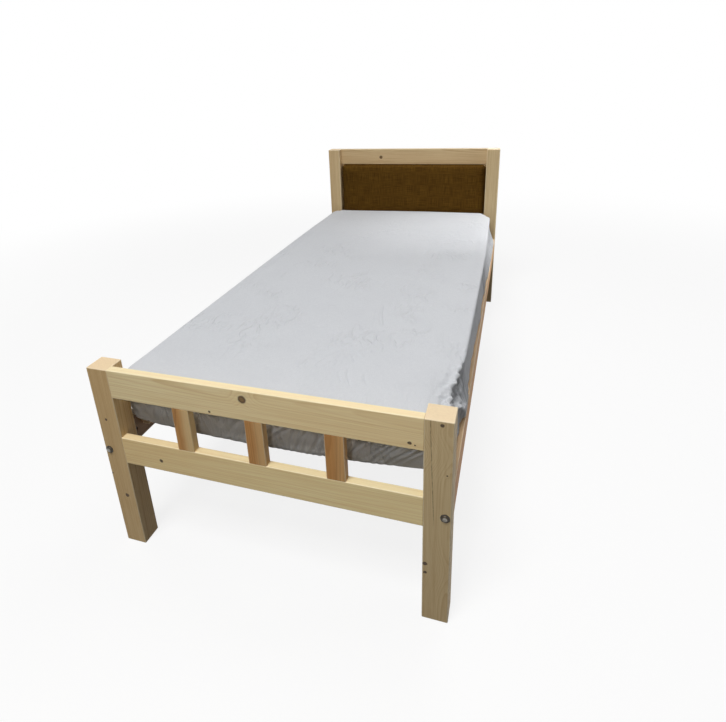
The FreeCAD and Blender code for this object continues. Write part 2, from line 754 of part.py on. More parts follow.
slat_top = size["lower_rail_underside"] + size["rail_height"]
rail_inside = size["bed_width"] / 2 - size["side_rail_thickness"]
ledger_inside = rail_inside - size["ledger_width"]
ledger_low = slat_top - size["slat_thickness"] - size["ledger_height"]
screw_run = size["clear_length"] / 2 - size["ledger_end_gap"] - size["screw_edge_distance"]
ledger_screw_level = ledger_low + size["ledger_height"] / 3
group("ledger_screws", wood_screw(size["ledger_screw_length"]), [
    ((side * ledger_inside, screw_run * (2 * share - 1), ledger_screw_level), (side, 0, 0))
    for side in sides for share in LEDGER_SCREW_SHARES])

slat_run = inner_y - size["first_slat_gap"] - size["slat_width"] / 2
slat_screw_x = rail_inside - size["ledger_width"] / 2
group("slat_screws", wood_screw(size["slat_screw_length"]), [
    ((side * slat_screw_x, slat_run * (2 * number / (SLAT_COUNT - 1) - 1), slat_top), (0, 0, -1))
    for side in sides for number in range(SLAT_COUNT)])

span_half = size["bed_width"] / 2 - size["post_width"]
group("batten_screws", wood_screw(size["batten_screw_length"]), [
    ((side * (span_half - size["batten_width"]), end_y - size["batten_thickness"] / 2,
      panel_low + panel_tall * share), (side, 0, 0))
    for side in sides for share in BATTEN_SCREW_SHARES])
group("panel_screws", wood_screw(size["panel_screw_length"]), [
    ((side * batten_middle_x, end_y, panel_low + panel_tall * share), (0, -1, 0))
    for side in sides for share in PANEL_SCREW_SHARES])


# Every feature has to hold before a file is written
document.recompute()
for thing in document.Objects:
    if "Invalid" in thing.State or "Error" in thing.State:
        raise ValueError(thing.Label + " did not build")
for node in nodes:
    if node.Shape.isNull() or not node.Shape.isValid() or not node.Shape.Solids:
        raise ValueError(node.Label + " has no valid solid")

os.makedirs("parts", exist_ok=True)
for node in nodes:
    node.Shape.exportStep("parts/%s.step" % node.Label)
print("wrote", len(nodes), "nodes,", sum(len(node.Shape.Solids) for node in nodes), "solids")
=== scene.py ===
# %% [markdown]
# # A single bed in planed pine
# The bed has a low footboard, a headboard with a padded panel, a slatted base, and a foam
# mattress in a grey fitted sheet. Its timber, bolts and screws come as a finished frame, at
# their real sizes in metres. This lesson gives that frame its finishes, and makes the soft
# pieces: the mattress, the fitted sheet with its gathered hem, and the cushion of the headboard.
# The floor is at height 0, the foot of the bed faces -Y, and +X is to the right.

# %% Load the frame
import math
from contextlib import contextmanager

import bmesh
import bpy
import numpy as np
from mathutils import Euler, Matrix, Vector


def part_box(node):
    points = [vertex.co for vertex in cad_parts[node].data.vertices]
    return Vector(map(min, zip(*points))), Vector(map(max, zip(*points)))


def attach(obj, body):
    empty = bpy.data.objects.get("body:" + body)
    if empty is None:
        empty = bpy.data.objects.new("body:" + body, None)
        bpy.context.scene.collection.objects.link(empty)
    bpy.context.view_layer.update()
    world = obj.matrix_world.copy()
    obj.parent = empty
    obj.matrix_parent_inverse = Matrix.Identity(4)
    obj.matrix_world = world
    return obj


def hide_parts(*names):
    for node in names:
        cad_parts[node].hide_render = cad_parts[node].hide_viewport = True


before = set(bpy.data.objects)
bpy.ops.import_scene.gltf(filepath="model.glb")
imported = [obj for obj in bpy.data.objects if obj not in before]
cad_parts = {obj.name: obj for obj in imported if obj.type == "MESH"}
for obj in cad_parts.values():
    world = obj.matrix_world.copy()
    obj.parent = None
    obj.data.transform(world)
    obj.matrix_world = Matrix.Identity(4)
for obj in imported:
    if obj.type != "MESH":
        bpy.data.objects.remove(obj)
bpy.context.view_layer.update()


# %% [markdown]
# ## The camera
# The picture was taken by a person who stood at the foot of the bed, a little to the right of
# its middle, and looked down along it. A short lens makes the footboard large and the headboard
# small. The three axes of the camera are written as unit vectors, and the sensor's shift puts
# the lens's own middle a little left of and above the middle of the picture.

# %% Camera
picture_wide = 726
focal_pixels = 526.9
camera_right = Vector((0.94926307, 0.31082567, -0.04782294))
camera_down = Vector((0.06802439, -0.35141099, -0.93374675))
camera_ahead = Vector((-0.30703797, 0.88311818, -0.3547252))

lens = bpy.data.cameras.new("camera")
camera = bpy.data.objects.new("camera", lens)
bpy.context.scene.collection.objects.link(camera)
bpy.context.scene.camera = camera
camera.rotation_mode = "QUATERNION"
axes = Matrix((camera_right, -camera_down, -camera_ahead)).transposed()
camera.rotation_quaternion = axes.to_quaternion()
camera.location = (0.5509, -1.9380, 1.2598)
lens.sensor_width = 36
lens.lens = lens.sensor_width * focal_pixels / picture_wide
lens.shift_x = 0.0357
lens.shift_y = -0.1176
print("lens: %.1f mm, at" % lens.lens, tuple(camera.location))


# %% [markdown]
# ## Small tools for node trees
# Every finish below is a tree of shader nodes. A wire is one node's output, and a sum on wires
# is written like a sum on numbers: each step of it adds a node to the tree that the wires come
# from. So a finish reads as a few lines of plain sums.

# %% Helpers for node trees
ZERO = (0.0, 0.0, 0.0)
HALF = (0.5, 0.5, 0.5)


class Wire:
    """A node's output, a number or a vector, that can be used in sums."""

    def __init__(self, socket):
        self.socket, self.tree = socket, socket.id_data
        self.is_number = socket.type == "VALUE"

    def __add__(self, other):
        return together("ADD", self, other)

    def __sub__(self, other):
        return together("SUBTRACT", self, other)

    def __rsub__(self, other):
        return maths("SUBTRACT", other, self)

    def __mul__(self, other):
        return together("MULTIPLY", self, other)

    def __truediv__(self, other):
        return maths("DIVIDE", self, other)

    def __pow__(self, other):
        return maths("POWER", self, other)

    def __abs__(self):
        return maths("ABSOLUTE", self)

    def length(self):
        """The length of a vector."""
        return add("VectorMath", {0: self}, "Value", operation="LENGTH")

    def eased(self, low, high, start=0.0, end=1.0):
        """The value moved softly from one range to another."""
        return add("MapRange", {0: self, 1: low, 2: high, 3: start, 4: end},
                   interpolation_type="SMOOTHSTEP")


# %% Nodes by what they do
def plug(socket, value):
    """Link a wire to a socket, or set the socket's plain value."""
    if isinstance(value, Wire):
        value.tree.links.new(value.socket, socket)
    else:
        socket.default_value = value


def new_node(kind, inputs=(), tree=None, **settings):
    """A new shader node, with its settings, and its inputs by name or number."""
    inputs = dict(inputs)
    tree = tree or next(value.tree for value in inputs.values() if isinstance(value, Wire))
    node = tree.nodes.new("ShaderNode" + kind)
    for name, value in settings.items():
        setattr(node, name, value)
    for socket, value in inputs.items():
        plug(node.inputs[socket], value)
    return node


def add(kind, inputs=(), output=0, **settings):
    """The wire from one output of a new node."""
    return Wire(new_node(kind, inputs, **settings).outputs[output])


def maths(operation, *values):
    """One sum on numbers."""
    return add("Math", enumerate(values), operation=operation)


def together(operation, first, second):
    """A sum on two numbers or two vectors. A vector times a number is scaled."""
    if first.is_number:
        return maths(operation, first, second)
    if isinstance(second, float) or isinstance(second, Wire) and second.is_number:
        return add("VectorMath", {0: first, "Scale": second}, operation="SCALE")
    return add("VectorMath", {0: first, 1: second}, operation=operation)


def split(vector):
    """The three numbers of a vector."""
    return [Wire(socket) for socket in new_node("SeparateXYZ", {0: vector}).outputs]


def mixed(share, first, second, blend="MIX"):
    """Two colours mixed by a share."""
    return add("Mix", {0: share, 6: first, 7: second}, 2, data_type="RGBA", blend_type=blend)


def bump(height, strength, distance, under=None):
    """Relief from a height, on top of another relief if one is given."""
    inputs = {"Height": height, "Strength": strength, "Distance": distance}
    return add("Bump", inputs | ({"Normal": under} if under else {}))


def ramp(value, stops):
    """Grey levels along a value, given as (place, level) stops."""
    node = new_node("ValToRGB", {0: value})
    band = node.color_ramp
    while len(band.elements) < len(stops):
        band.elements.new(0.5)
    for element, (place, level) in zip(band.elements, stops):
        element.position = place
        element.color = (level, level, level, 1)
    return Wire(node.outputs[0])


def noise(place, scale, detail=2.0, output=0):
    """Cloudy noise at a place or along a number: output 0 is a number and 1 a colour."""
    way, dimensions = ("W", "1D") if place.is_number else ("Vector", "3D")
    return add("TexNoise", {way: place, "Scale": scale, "Detail": detail}, output,
               noise_dimensions=dimensions)


# %% Groups and finishes
def effect_group(name, inputs, outputs):
    """An empty group: its input wires, given with their plain values, and its named outputs."""
    tree = bpy.data.node_groups.new(name, "ShaderNodeTree")
    kinds = {float: "NodeSocketFloat", tuple: "NodeSocketVector"}
    for label, value in inputs.items():
        socket = tree.interface.new_socket(label, in_out="INPUT", socket_type=kinds[type(value)])
        socket.default_value = value
    for label in outputs:
        tree.interface.new_socket(label, in_out="OUTPUT", socket_type="NodeSocketFloat")
    wires = [Wire(socket) for socket in tree.nodes.new("NodeGroupInput").outputs[:len(inputs)]]
    return tree, wires, tree.nodes.new("NodeGroupOutput").inputs


def use(group, place, **inputs):
    """A group placed in the tree of its vector, as wires by the names of its outputs."""
    node = new_node("Group", tree=place.tree, node_tree=group)
    for name, value in {"Vector": place, **inputs}.items():
        plug(node.inputs[name], value)
    return {socket.name: Wire(socket) for socket in node.outputs}


def finish_named(name, **shader_values):
    """A new material, its Principled shader with plain values set, and the place in metres."""
    material = bpy.data.materials.new(name)
    material.use_nodes = True
    shader = material.node_tree.nodes["Principled BSDF"]
    for socket, value in shader_values.items():
        shader.inputs[socket.replace("_", " ")].default_value = value
    return material, shader, add("TexCoord", output="Object", tree=material.node_tree)


def complete(material, shader, shade, roughness, relief=None, nodes=()):
    """Link a finish's colour, roughness and relief, and give it to the frame's own pieces."""
    plug(shader.inputs["Base Color"], shade)
    plug(shader.inputs["Roughness"], roughness)
    if relief:
        plug(shader.inputs["Normal"], relief)
    for node_name in nodes:
        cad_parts[node_name].material_slots[0].material = material


def tint(shader, share, paint):
    """Mix another colour over a finish's own."""
    base = shader.inputs["Base Color"]
    plug(base, mixed(share, Wire(base.links[0].from_socket), paint))


def colour(red, green, blue):
    """A screen colour from 0 to 255 as the shader's linear colour."""
    def linear(level):
        level = level / 255
        return level / 12.92 if level <= 0.04045 else ((level + 0.055) / 1.055) ** 2.4
    return (linear(red), linear(green), linear(blue), 1)


# %% [markdown]
# ## Growth rings
# Wood is a solid pattern: a stack of thin cones round the pith of the tree, which the saw then
# cuts through. So the rings are measured as a distance from a pith line, and the same numbers
# give stripes on a rail's face and arcs on a post's end. The pale early wood darkens slowly and
# stops at a sharp edge, and slow noise bends the whole trunk. Fine fibres run along the grain.

# %% Growth rings group
rings_group, (place, spacing, waviness, shift), out = effect_group(
    "growth rings", {"Vector": ZERO, "Spacing": 0.0035, "Waviness": 0.008, "Shift": 0.0},
    ["Late wood", "Fibre", "Streak", "Tone"])
along = place * (1.0, 1.0, 0.16)
bend = (noise(along, 6.0, output=1) - HALF) * (2.0, 2.0, 0.0)
radius = (place * (1.0, 1.0, 0.0) + bend * waviness).length() + shift
count = radius / spacing
count = count + noise(count, 0.37, detail=1.0) * 1.6
late = ramp(maths("FRACT", count), [(0.0, 0.0), (0.45, 0.10), (0.84, 0.9), (0.92, 1.0), (1.0, 0.0)])
strength = noise(maths("FLOOR", count), 3.1).eased(0.25, 0.75, 0.35, 1.0)
patch = noise(along, 11.0).eased(0.3, 0.7, 0.45, 1.0)
fine = place * (1.0, 1.0, 0.018)
plug(out["Late wood"], maths("MULTIPLY", late, strength * patch))
plug(out["Fibre"], noise(fine, 900.0, detail=3.0))
plug(out["Streak"], noise(fine, 160.0))
plug(out["Tone"], noise(along, 3.2, detail=1.0))
print("growth rings:", len(rings_group.nodes), "nodes")


# %% [markdown]
# ## Knots
# A knot is a branch that the board was sawn across. Its own small rings are dark, a darker rim
# goes round it, and the trunk's rings bend out of its way. The branch runs into the board from
# its front, so the group measures the distance from that line, mostly across it.

# %% Knot group
knot_group, (place, centre, radius), out = effect_group(
    "branch knot", {"Vector": ZERO, "Centre": ZERO, "Radius": 0.008},
    ["Core", "Rim", "Bark", "Shift"])
away = (place - centre) * (1.0, 0.25, 1.0)
wobble = (noise(place, 120.0, output=1) - HALF) * 0.004
reach = (away + wobble).length() / radius
plug(out["Core"], reach.eased(0.8, 1.05, 1.0, 0.0))
plug(out["Rim"], maths("EXPONENT", (reach - 0.95) ** 2.0 * -14.0))
plug(out["Bark"], maths("FRACT", reach * 3.5))
plug(out["Shift"], maths("EXPONENT", reach ** 2.0 * -0.12) * radius * 1.3)


# %% [markdown]
# ## Rounded edges
# A planed board's edges are handled and rubbed, so they end up a touch smoother than its faces,
# and they are painted paler: partly that wear, and partly a painted highlight where the rounding
# catches the light. The group takes the board's two opposite corners, and finds where two of the
# three distances to its faces are small at once, which is only along an edge.

# %% Edge group
edge_group, (place, low, high, width), out = effect_group(
    "rubbed and highlit edges", {"Vector": ZERO, "Low": ZERO, "High": (1.0, 1.0, 1.0), "Width": 0.004},
    ["Edge"])
inside = add("VectorMath", {0: place - low, 1: high - place}, operation="MINIMUM")
near = [part.eased(0.0, width, 1.0, 0.0) for part in split(inside)]
ragged = noise(place, 60.0, detail=3.0) * 0.5
plug(out["Edge"], (near[0] + near[1] + near[2] - ragged).eased(0.9, 1.6))


# %% [markdown]
# ## The pine
# One function finishes every board, so that all of them are the same kind of wood, and each has
# its own piece of the tree: where its pith runs, how far apart its rings are, how much it leans
# from the trunk, and its knots. The grain runs along the board's length, so the pattern is
# turned to that axis, and a board that leans a little shows long arches instead of stripes. Cut
# ends are paler and plain, since there the saw crossed every ring; on the posts' tops this paler
# end is also a painted highlight for the light from above. The knots of the boards at the front
# are where the real ones are.

# %% Tones
def tone(*levels):
    """The screen colours of early wood, of late wood, and of the warmer patches."""
    return [colour(*levels[start:start + 3]) for start in (0, 3, 6)]


RAIL_TONE = tone(255, 238, 190, 208, 164, 98, 248, 222, 170)
LOW_TONE = tone(255, 236, 182, 214, 165, 94, 250, 219, 160)
POST_TONE = tone(214, 192, 148, 160, 119, 69, 201, 172, 124)
LEFT_TONE = tone(230, 205, 156, 173, 128, 73, 216, 184, 131)
HEAD_TONE = tone(212, 191, 148, 165, 126, 78, 202, 172, 128)
PLAIN_TONE = tone(240, 214, 164, 190, 146, 88, 228, 194, 142)
SIDE_TONE = tone(218, 168, 104, 166, 108, 56, 204, 148, 86)
PAINTED_SHADE_TONE = tone(160, 124, 84, 116, 80, 48, 144, 108, 70)
HEART_TONE = tone(220, 172, 108, 148, 97, 46, 198, 144, 82)
WORN_AND_LIT_EDGE = colour(250, 240, 208)
PAINTED_TOP_LIGHT = colour(228, 216, 182)
PALE_END_AND_TOP_LIGHT = colour(238, 216, 182)
KNOT_HEART = colour(130, 90, 30)
KNOT_RIM = colour(58, 38, 16)
KNOT_DARK = colour(40, 25, 12)

# %% Glue line
def glue_line(place, top, across_at, lean, lowest):
    """How far a second board's rings are moved, and how dark the glue line is beside it."""
    across, _, up = split(place)
    upright = place * (0.0, 0.0, 1.0)
    down = top - up
    beside = across - noise(upright, 14.0) * 0.003 - down * lean - across_at
    glue = abs(beside).eased(0.0002, 0.0013, 0.75, 0.0) * up.eased(lowest, lowest + 0.05)
    glue = glue * noise(upright, 60.0).eased(0.35, 0.6, 0.35, 1.0) * down.eased(0.0015, 0.003)
    return beside.eased(-0.0004, 0.0004, 0.021, 0.0), glue


# %% Pine finish
TURNS = {"x": (0.0, -math.pi / 2, 0.0), "y": (math.pi / 2, 0.0, 0.0), "z": ZERO}
FOOT_FACE = -1.019
HEAD_FACE = 0.996
LARGE_KNOT = 0.0060
dice = np.random.default_rng(7)


def wood(node_name, grain, pith, spacing=0.0035, waviness=0.008, knots=(), tone=RAIL_TONE,
         lines=0.75, tilt=0.012, joint=None, swirls=(), face=FOOT_FACE):
    """The finish of one board. pith is how far its pith line runs from the board's middle, tilt
    is how much it leans, in radians, a knot is (across, height, radius) on the board's face, a
    swirl is a knot below the face, which only bends the grain, and joint is a glue line: its
    place across at the top, how far it leans, and its lowest point."""
    early, late, warm = tone
    material, shader, place = finish_named("wood " + node_name)
    low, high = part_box(node_name)
    lean = Euler((tilt, -tilt / 2, 0)).to_matrix() @ Euler(TURNS[grain]).to_matrix()
    middle = lean @ ((low + high) / 2)
    slide = dice.uniform(-3, 3)
    shift = Vector((pith[0], pith[1], slide)) - Vector((middle.x, middle.y, 0))
    turned = add("Mapping", {"Vector": place, "Location": shift, "Rotation": lean.to_euler()})

    swelling, marks = 0.0, []
    for across, up, radius in (*knots, *swirls):
        marks.append(use(knot_group, place, Centre=(across, face, up), Radius=radius))
        swelling = marks[-1]["Shift"] + swelling
    if joint:
        other_board, glue = glue_line(place, high.z, *joint)
        swelling = other_board + swelling
    rings = use(rings_group, turned, Spacing=spacing, Waviness=waviness, Shift=swelling)
    edge = use(edge_group, place, Low=low, High=high)["Edge"]

    shade = mixed(rings["Tone"].eased(0.35, 0.68), early, warm)
    shade = mixed(rings["Late wood"] * lines, shade, late)
    shade = mixed(rings["Streak"].eased(0.3, 0.75, 0.0, 0.26), shade, late)
    shade = mixed(rings["Fibre"].eased(0.35, 0.75, 0.0, 0.16), shade, warm, "MULTIPLY")
    # Paler edges: partly rubbed wear, partly a painted highlight on their rounding.
    shade = mixed(edge * 0.45, shade, WORN_AND_LIT_EDGE)
    # Paler ends: plain end grain, and on the posts' tops also a painted highlight for the light
    # from above.
    axis = "xyz".index(grain)
    from_middle = abs(split(place)[axis] - (low[axis] + high[axis]) / 2)
    half = (high[axis] - low[axis]) / 2
    shade = mixed(from_middle.eased(half - 0.0022, half - 0.0008, 0.0, 0.62), shade, PALE_END_AND_TOP_LIGHT)
    # Painted light: the top face of each lying board is mixed paler, standing in for the light from
    # above.
    if grain != "z":
        lit_top = split(place)[2].eased(high.z - 0.0014, high.z - 0.0004, 0.0, 0.4)
        shade = mixed(lit_top, shade, PAINTED_TOP_LIGHT)
    for (_, _, radius), mark in zip(knots, marks):
        heart = mixed(mark["Bark"], KNOT_HEART if radius > LARGE_KNOT else KNOT_DARK, KNOT_RIM)
        shade = mixed(mark["Core"] * 0.92, shade, heart)
        shade = mixed(mark["Rim"] * 0.92, shade, KNOT_RIM)
    if joint:
        shade = mixed(glue, shade, KNOT_RIM)
    dull = rings["Fibre"].eased(0.2, 0.8, 0.52, 0.68) + edge * -0.1
    relief = bump(rings["Late wood"] * 0.5 + rings["Fibre"], 0.35, 0.0003)
    complete(material, shader, shade, dull, relief, [node_name])
    return shader, place


# %% [markdown]
# ### The boards that show
# Facing boards are flat sawn, with the pith well behind the face, so the lines lie wide apart.
# The right post is two boards glued edge to edge, and its glue line shows as a dark, slightly
# wavy line down to the bolt. The uprights are heartwood that fades to paler wood on their right.

# %% Finish the end frames
wood("foot_top_rail", "x", (0.030, 0.048), 0.0036, lines=0.62, tilt=0.018, knots=[
    (-0.0213, 0.5609, 0.0088), (-0.1153, 0.5105, 0.0026), (0.3762, 0.5172, 0.0036),
    (0.3878, 0.5130, 0.0018)])
wood("foot_lower_rail", "x", (-0.046, 0.044), 0.0046, 0.010, tone=LOW_TONE, lines=0.5,
     tilt=-0.020, knots=[(-0.2891, 0.3247, 0.0040)])
wood("head_top_rail", "x", (0.044, 0.050), 0.0044, 0.011, tone=HEAD_TONE, tilt=0.022,
     face=HEAD_FACE, knots=[(-0.1714, 0.8177, 0.0075)])
wood("head_lower_rail", "x", (-0.035, 0.055), 0.0038, 0.009, tone=HEAD_TONE)
wood("foot_post_left", "z", (0.044, 0.040), 0.0038, tone=LEFT_TONE, tilt=0.02, knots=[
    (-0.4445, 0.4278, 0.0034), (-0.4665, 0.2457, 0.0026), (-0.4328, 0.1739, 0.0052)])
wood("foot_post_right", "z", (-0.024, 0.052), 0.0044, 0.004, tone=POST_TONE, tilt=-0.012,
     lines=0.5, joint=(0.4180, 0.041, 0.290),
     knots=[(0.4446, 0.5742, 0.0036), (0.4579, 0.4473, 0.0018), (0.4125, 0.1802, 0.0046),
            (0.4130, 0.1529, 0.0036)],
     swirls=[(0.4260, 0.4950, 0.0140), (0.4020, 0.1650, 0.0200)])
wood("head_post_left", "z", (0.034, 0.060), 0.0036, 0.007, tone=HEAD_TONE)
wood("head_post_right", "z", (-0.048, 0.058), 0.0036, 0.007, tone=HEAD_TONE)
# Painted shade: the left side rail gets a darker tone for the deep shade it sits in behind the left
# foot post.
wood("side_rail_left", "y", (0.040, 0.058), 0.0040, 0.010, tone=PAINTED_SHADE_TONE)
wood("side_rail_right", "y", (-0.046, 0.055), 0.0040, 0.010, tone=SIDE_TONE)

UPRIGHTS = {"left": ((0.02, 0.09), 0.72), "middle": ((-0.03, 0.075), 0.38),
            "right": ((0.012, 0.085), 0.22)}
for side, (pith, sap) in UPRIGHTS.items():
    name = "foot_upright_" + side
    shader, place = wood(name, "z", pith, 0.0030, 0.006, tone=HEART_TONE, lines=0.7)
    low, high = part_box(name)
    across = split(place)[0] + noise(place, 12.0) * 0.012
    tint(shader, across.eased(low.x + 0.020, high.x - 0.002, 0.0, sap), colour(232, 204, 150))
print("end frames and side rails finished")


# %% [markdown]
# ### The hidden boards
# Ledgers, slats and battens are cheaper boards from all over the log, so their piths are drawn
# at random, with a fixed seed, so that they are the same each time.

# %% Finish the ledgers, slats and battens
for side in ("left", "right"):
    wood("slat_ledger_" + side, "y", tuple(dice.uniform(-0.06, 0.06, 2)), 0.0034, tone=PLAIN_TONE)
for number in range(1, 14):
    pith = (dice.uniform(0.02, 0.07), dice.uniform(-0.06, 0.06))
    wood("bed_slat_%02d" % number, "x", pith, dice.uniform(0.0032, 0.0048), tone=PLAIN_TONE,
         tilt=dice.uniform(-0.03, 0.03))
for side in ("left", "right"):
    wood("head_panel_batten_" + side, "z", tuple(dice.uniform(-0.05, 0.05, 2)), 0.0034,
         tone=PLAIN_TONE)
print("hidden boards finished")


# %% [markdown]
# ## Plywood, dowels and metal
# The board behind the cushion is plywood: its faces have long pale grain, and its edges show
# thin layers with the grain turned each time. The dowels are beech, with short dark flecks.
# The bolts and nuts are bright zinc and the screws yellow zinc, with faint scratches and duller
# patches, and the washers have gone dark.

# %% Plywood board
two_layers = 0.0048
material, shader, place = finish_named("plywood")
layer = maths("FRACT", split(place)[1] * (1 / two_layers)).eased(0.42, 0.58)
long_grain = noise(place * (3.0, 60.0, 90.0), 4.0, detail=4.0)
shade = mixed(layer, colour(226, 196, 150), colour(176, 134, 88))
shade = mixed(long_grain.eased(0.35, 0.7, 0.0, 0.5), shade, colour(196, 158, 108))
complete(material, shader, shade, long_grain.eased(0.2, 0.8, 0.6, 0.78),
         bump(long_grain, 0.3, 0.0003), ["head_panel_board"])

# %% Beech dowels
material, shader, place = finish_named("beech")
flecks = noise(place * (900.0, 60.0, 900.0), 1.0, detail=3.0)
shade = mixed(flecks.eased(0.5, 0.7), colour(216, 178, 134), colour(158, 112, 74))
complete(material, shader, shade, flecks.eased(0.2, 0.8, 0.55, 0.7), nodes=["rail_dowels"])

# %% Metal finish
scratch_group, (place,), out = effect_group(
    "handled metal", {"Vector": ZERO}, ["Dullness", "Scratch"])
plug(out["Dullness"], noise(place, 90.0, detail=4.0))
plug(out["Scratch"], noise(place * (2600.0, 300.0, 300.0), 1.0))


def metal(name, bright, dull, smooth, rough, *nodes):
    """A plated metal for fasteners: bright with duller, rougher patches."""
    material, shader, place = finish_named(name, Metallic=1.0)
    marks = use(scratch_group, place)
    shade = mixed(marks["Dullness"].eased(0.35, 0.7), colour(*bright), colour(*dull))
    complete(material, shader, shade, marks["Dullness"].eased(0.3, 0.7, smooth, rough),
             bump(marks["Scratch"], 0.25, 0.0001), nodes)
    return shader, place


metal("dark washer", (86, 84, 80), (58, 54, 50), 0.42, 0.62, "bolt_washers")
metal("plain steel", (160, 160, 162), (120, 118, 116), 0.32, 0.5, "barrel_nuts")
metal("yellow zinc", (206, 182, 122), (164, 140, 92), 0.3, 0.5,
      "ledger_screws", "slat_screws", "batten_screws", "panel_screws")


# %% [markdown]
# The bolts' domed heads are painted dark at the rim and bright in the middle, round the socket:
# a painted reflection of dark surroundings in the dome's rim. Each head is a ring round the bolt's
# own axis.

# %% Bolt heads
bolt_low, bolt_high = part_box("frame_bolts")
head_radius = 0.009
bolt_across = bolt_high.x - head_radius
bolt_level = (bolt_low.z + bolt_high.z) / 2
shader, place = metal("bolt steel", (150, 147, 140), (108, 104, 96), 0.34, 0.55, "frame_bolts")
across, _, up = split(place)
across, up = abs(across) - bolt_across, up - bolt_level
from_axis = maths("SQRT", across * across + up * up)
# Painted reflection: each head's rim is mixed dark, and its middle is left bright.
tint(shader, from_axis.eased(head_radius * 0.42, head_radius * 0.75), colour(66, 60, 52))
print("metal finished, bolts at x = %.3f, z = %.3f" % (bolt_across, bolt_level))


# %% [markdown]
# ## Woven cloth
# All the cloth here is plain weave: threads go over and under each other in turn, so each small
# square of the weave is a hump along one thread or across it. The group reads a flat map of the
# cloth in metres, so the threads have their real width wherever the cloth bends.

# %% Weave group
weave_group, (place, threads, unevenness), out = effect_group(
    "plain weave", {"Vector": ZERO, "Threads": 1500.0, "Unevenness": 0.3},
    ["Height", "Tone", "Slub"])
scaled = place * threads
drift = (noise(place, 40.0, output=1) - HALF) * unevenness
across, up, _ = split(scaled + drift)
odd = abs(maths("MODULO", maths("FLOOR", across) + maths("FLOOR", up), 2.0))
over, under = (abs(maths("SINE", way * math.pi)) for way in (across, up))
plug(out["Height"], over * odd + under * (1.0 - odd))
slubs = noise(scaled * (1.0, 0.04, 1.0), 0.9) + noise(scaled * (0.04, 1.0, 1.0), 0.9)
plug(out["Slub"], slubs * 0.5)
plug(out["Tone"], noise(place, 9.0, detail=3.0))


# %% [markdown]
# The four cloths differ in thread, colour and sheen. The sheet is fine grey cotton with a satin
# face, and has soft crumples: most on its side at the foot, some on the middle of the top, and
# few towards the head. The cushion's cover is a coarse brown weave in two browns. The ticking
# is off-white, and the elastic is a narrow ribbed tape.

# %% Crumples group
crumple_group, (place, scale), out = effect_group(
    "soft crumples", {"Vector": ZERO, "Scale": 26.0}, ["Height"])
drift = noise(place, 9.0, output=1) * (0.05, 0.05, 0.0)
cloud = noise((place + drift) * (1.0, 0.42, 1.0), scale)
ridge = abs(cloud - 0.5).eased(0.0, 0.09, 1.0, 0.0)
plug(out["Height"], ridge * noise(place, 4.5).eased(0.47, 0.62))


# %% Cloth finishes
crumple_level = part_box("mattress_ticking")[1].z - 0.012


def crumples(place, flat_map, depth):
    """Relief of the sheet's crumples, with its share by place on the bed."""
    _, along, level = split(place)
    side_share = level.eased(crumple_level - 0.03, crumple_level, 1.0, 0.0)
    side_share = side_share * along.eased(-0.945, -0.925, 1.0, 0.22)
    top_share = along.eased(-0.88, -0.58, 0.35, 1.1) * along.eased(0.15, 0.55, 1.0, 0.4)
    creased = use(crumple_group, flat_map)["Height"] * (top_share + side_share * 1.8)
    fine = use(crumple_group, flat_map, Scale=60.0)["Height"] * side_share
    return bump(creased + fine, 1.0, depth)


def cloth(name, threads, first, second, dull, depth, uneven=0.3, mottle=0.35, crumple=0.0,
          **shader_values):
    """A woven finish: two thread colours, a soft mottle, the weave's own relief, and crumples."""
    material, shader, place = finish_named(name, **shader_values)
    flat_map = add("UVMap", tree=place.tree)
    weave = use(weave_group, flat_map, Threads=threads, Unevenness=uneven)
    first, second = colour(*first), colour(*second)
    shade = mixed(weave["Slub"].eased(0.38, 0.62), first, second)
    shade = mixed(weave["Tone"].eased(0.35, 0.7, 0.0, mottle), shade, second)
    under = crumples(place, flat_map, crumple) if crumple else None
    complete(material, shader, shade, weave["Slub"].eased(0.3, 0.7, dull, dull + 0.1),
             bump(weave["Height"], 0.4, depth, under))
    return material


sheet_cloth = cloth("grey sheet cotton", 1600.0, (207, 209, 212), (198, 200, 204), 0.6, 0.0001,
                    crumple=0.0019, Sheen_Weight=0.15, Sheen_Roughness=0.4,
                    Specular_IOR_Level=0.25)
cover_cloth = cloth("brown cover weave", 420.0, (96, 68, 20), (70, 45, 9), 0.9, 0.0008,
                    uneven=0.8, mottle=0.22, Specular_IOR_Level=0.10)
ticking_cloth = cloth("mattress ticking", 900.0, (228, 224, 212), (210, 204, 190), 0.75, 0.0003,
                      uneven=0.5)
elastic_cloth = cloth("ribbed elastic", 1100.0, (222, 222, 220), (190, 190, 190), 0.6, 0.0003)
print("four cloths finished")


# %% [markdown]
# ## Tools for soft pieces
# The mattress, the sheet and the cushion each start as a block, are rounded by bevels, and are
# then cut into small even squares by a voxel remesh, so that they can bend anywhere.

# %% Modelling helpers
def select_only(piece):
    """Select one piece, and make it the active one."""
    bpy.ops.object.select_all(action="DESELECT")
    piece.select_set(True)
    bpy.context.view_layer.objects.active = piece


@contextmanager
def editing(piece):
    """Edit mode on one piece, for the lines indented below."""
    select_only(piece)
    bpy.ops.object.mode_set(mode="EDIT")
    yield
    bpy.ops.object.mode_set(mode="OBJECT")


def new_block(name, low, high):
    """A block between two corners."""
    low, high = Vector(low), Vector(high)
    bpy.ops.mesh.primitive_cube_add(size=1, location=(low + high) / 2)
    block = bpy.context.object
    block.name = block.data.name = name
    select_only(block)
    bpy.ops.transform.resize(value=high - low)
    bpy.ops.object.transform_apply(location=True, rotation=True, scale=True)
    return block


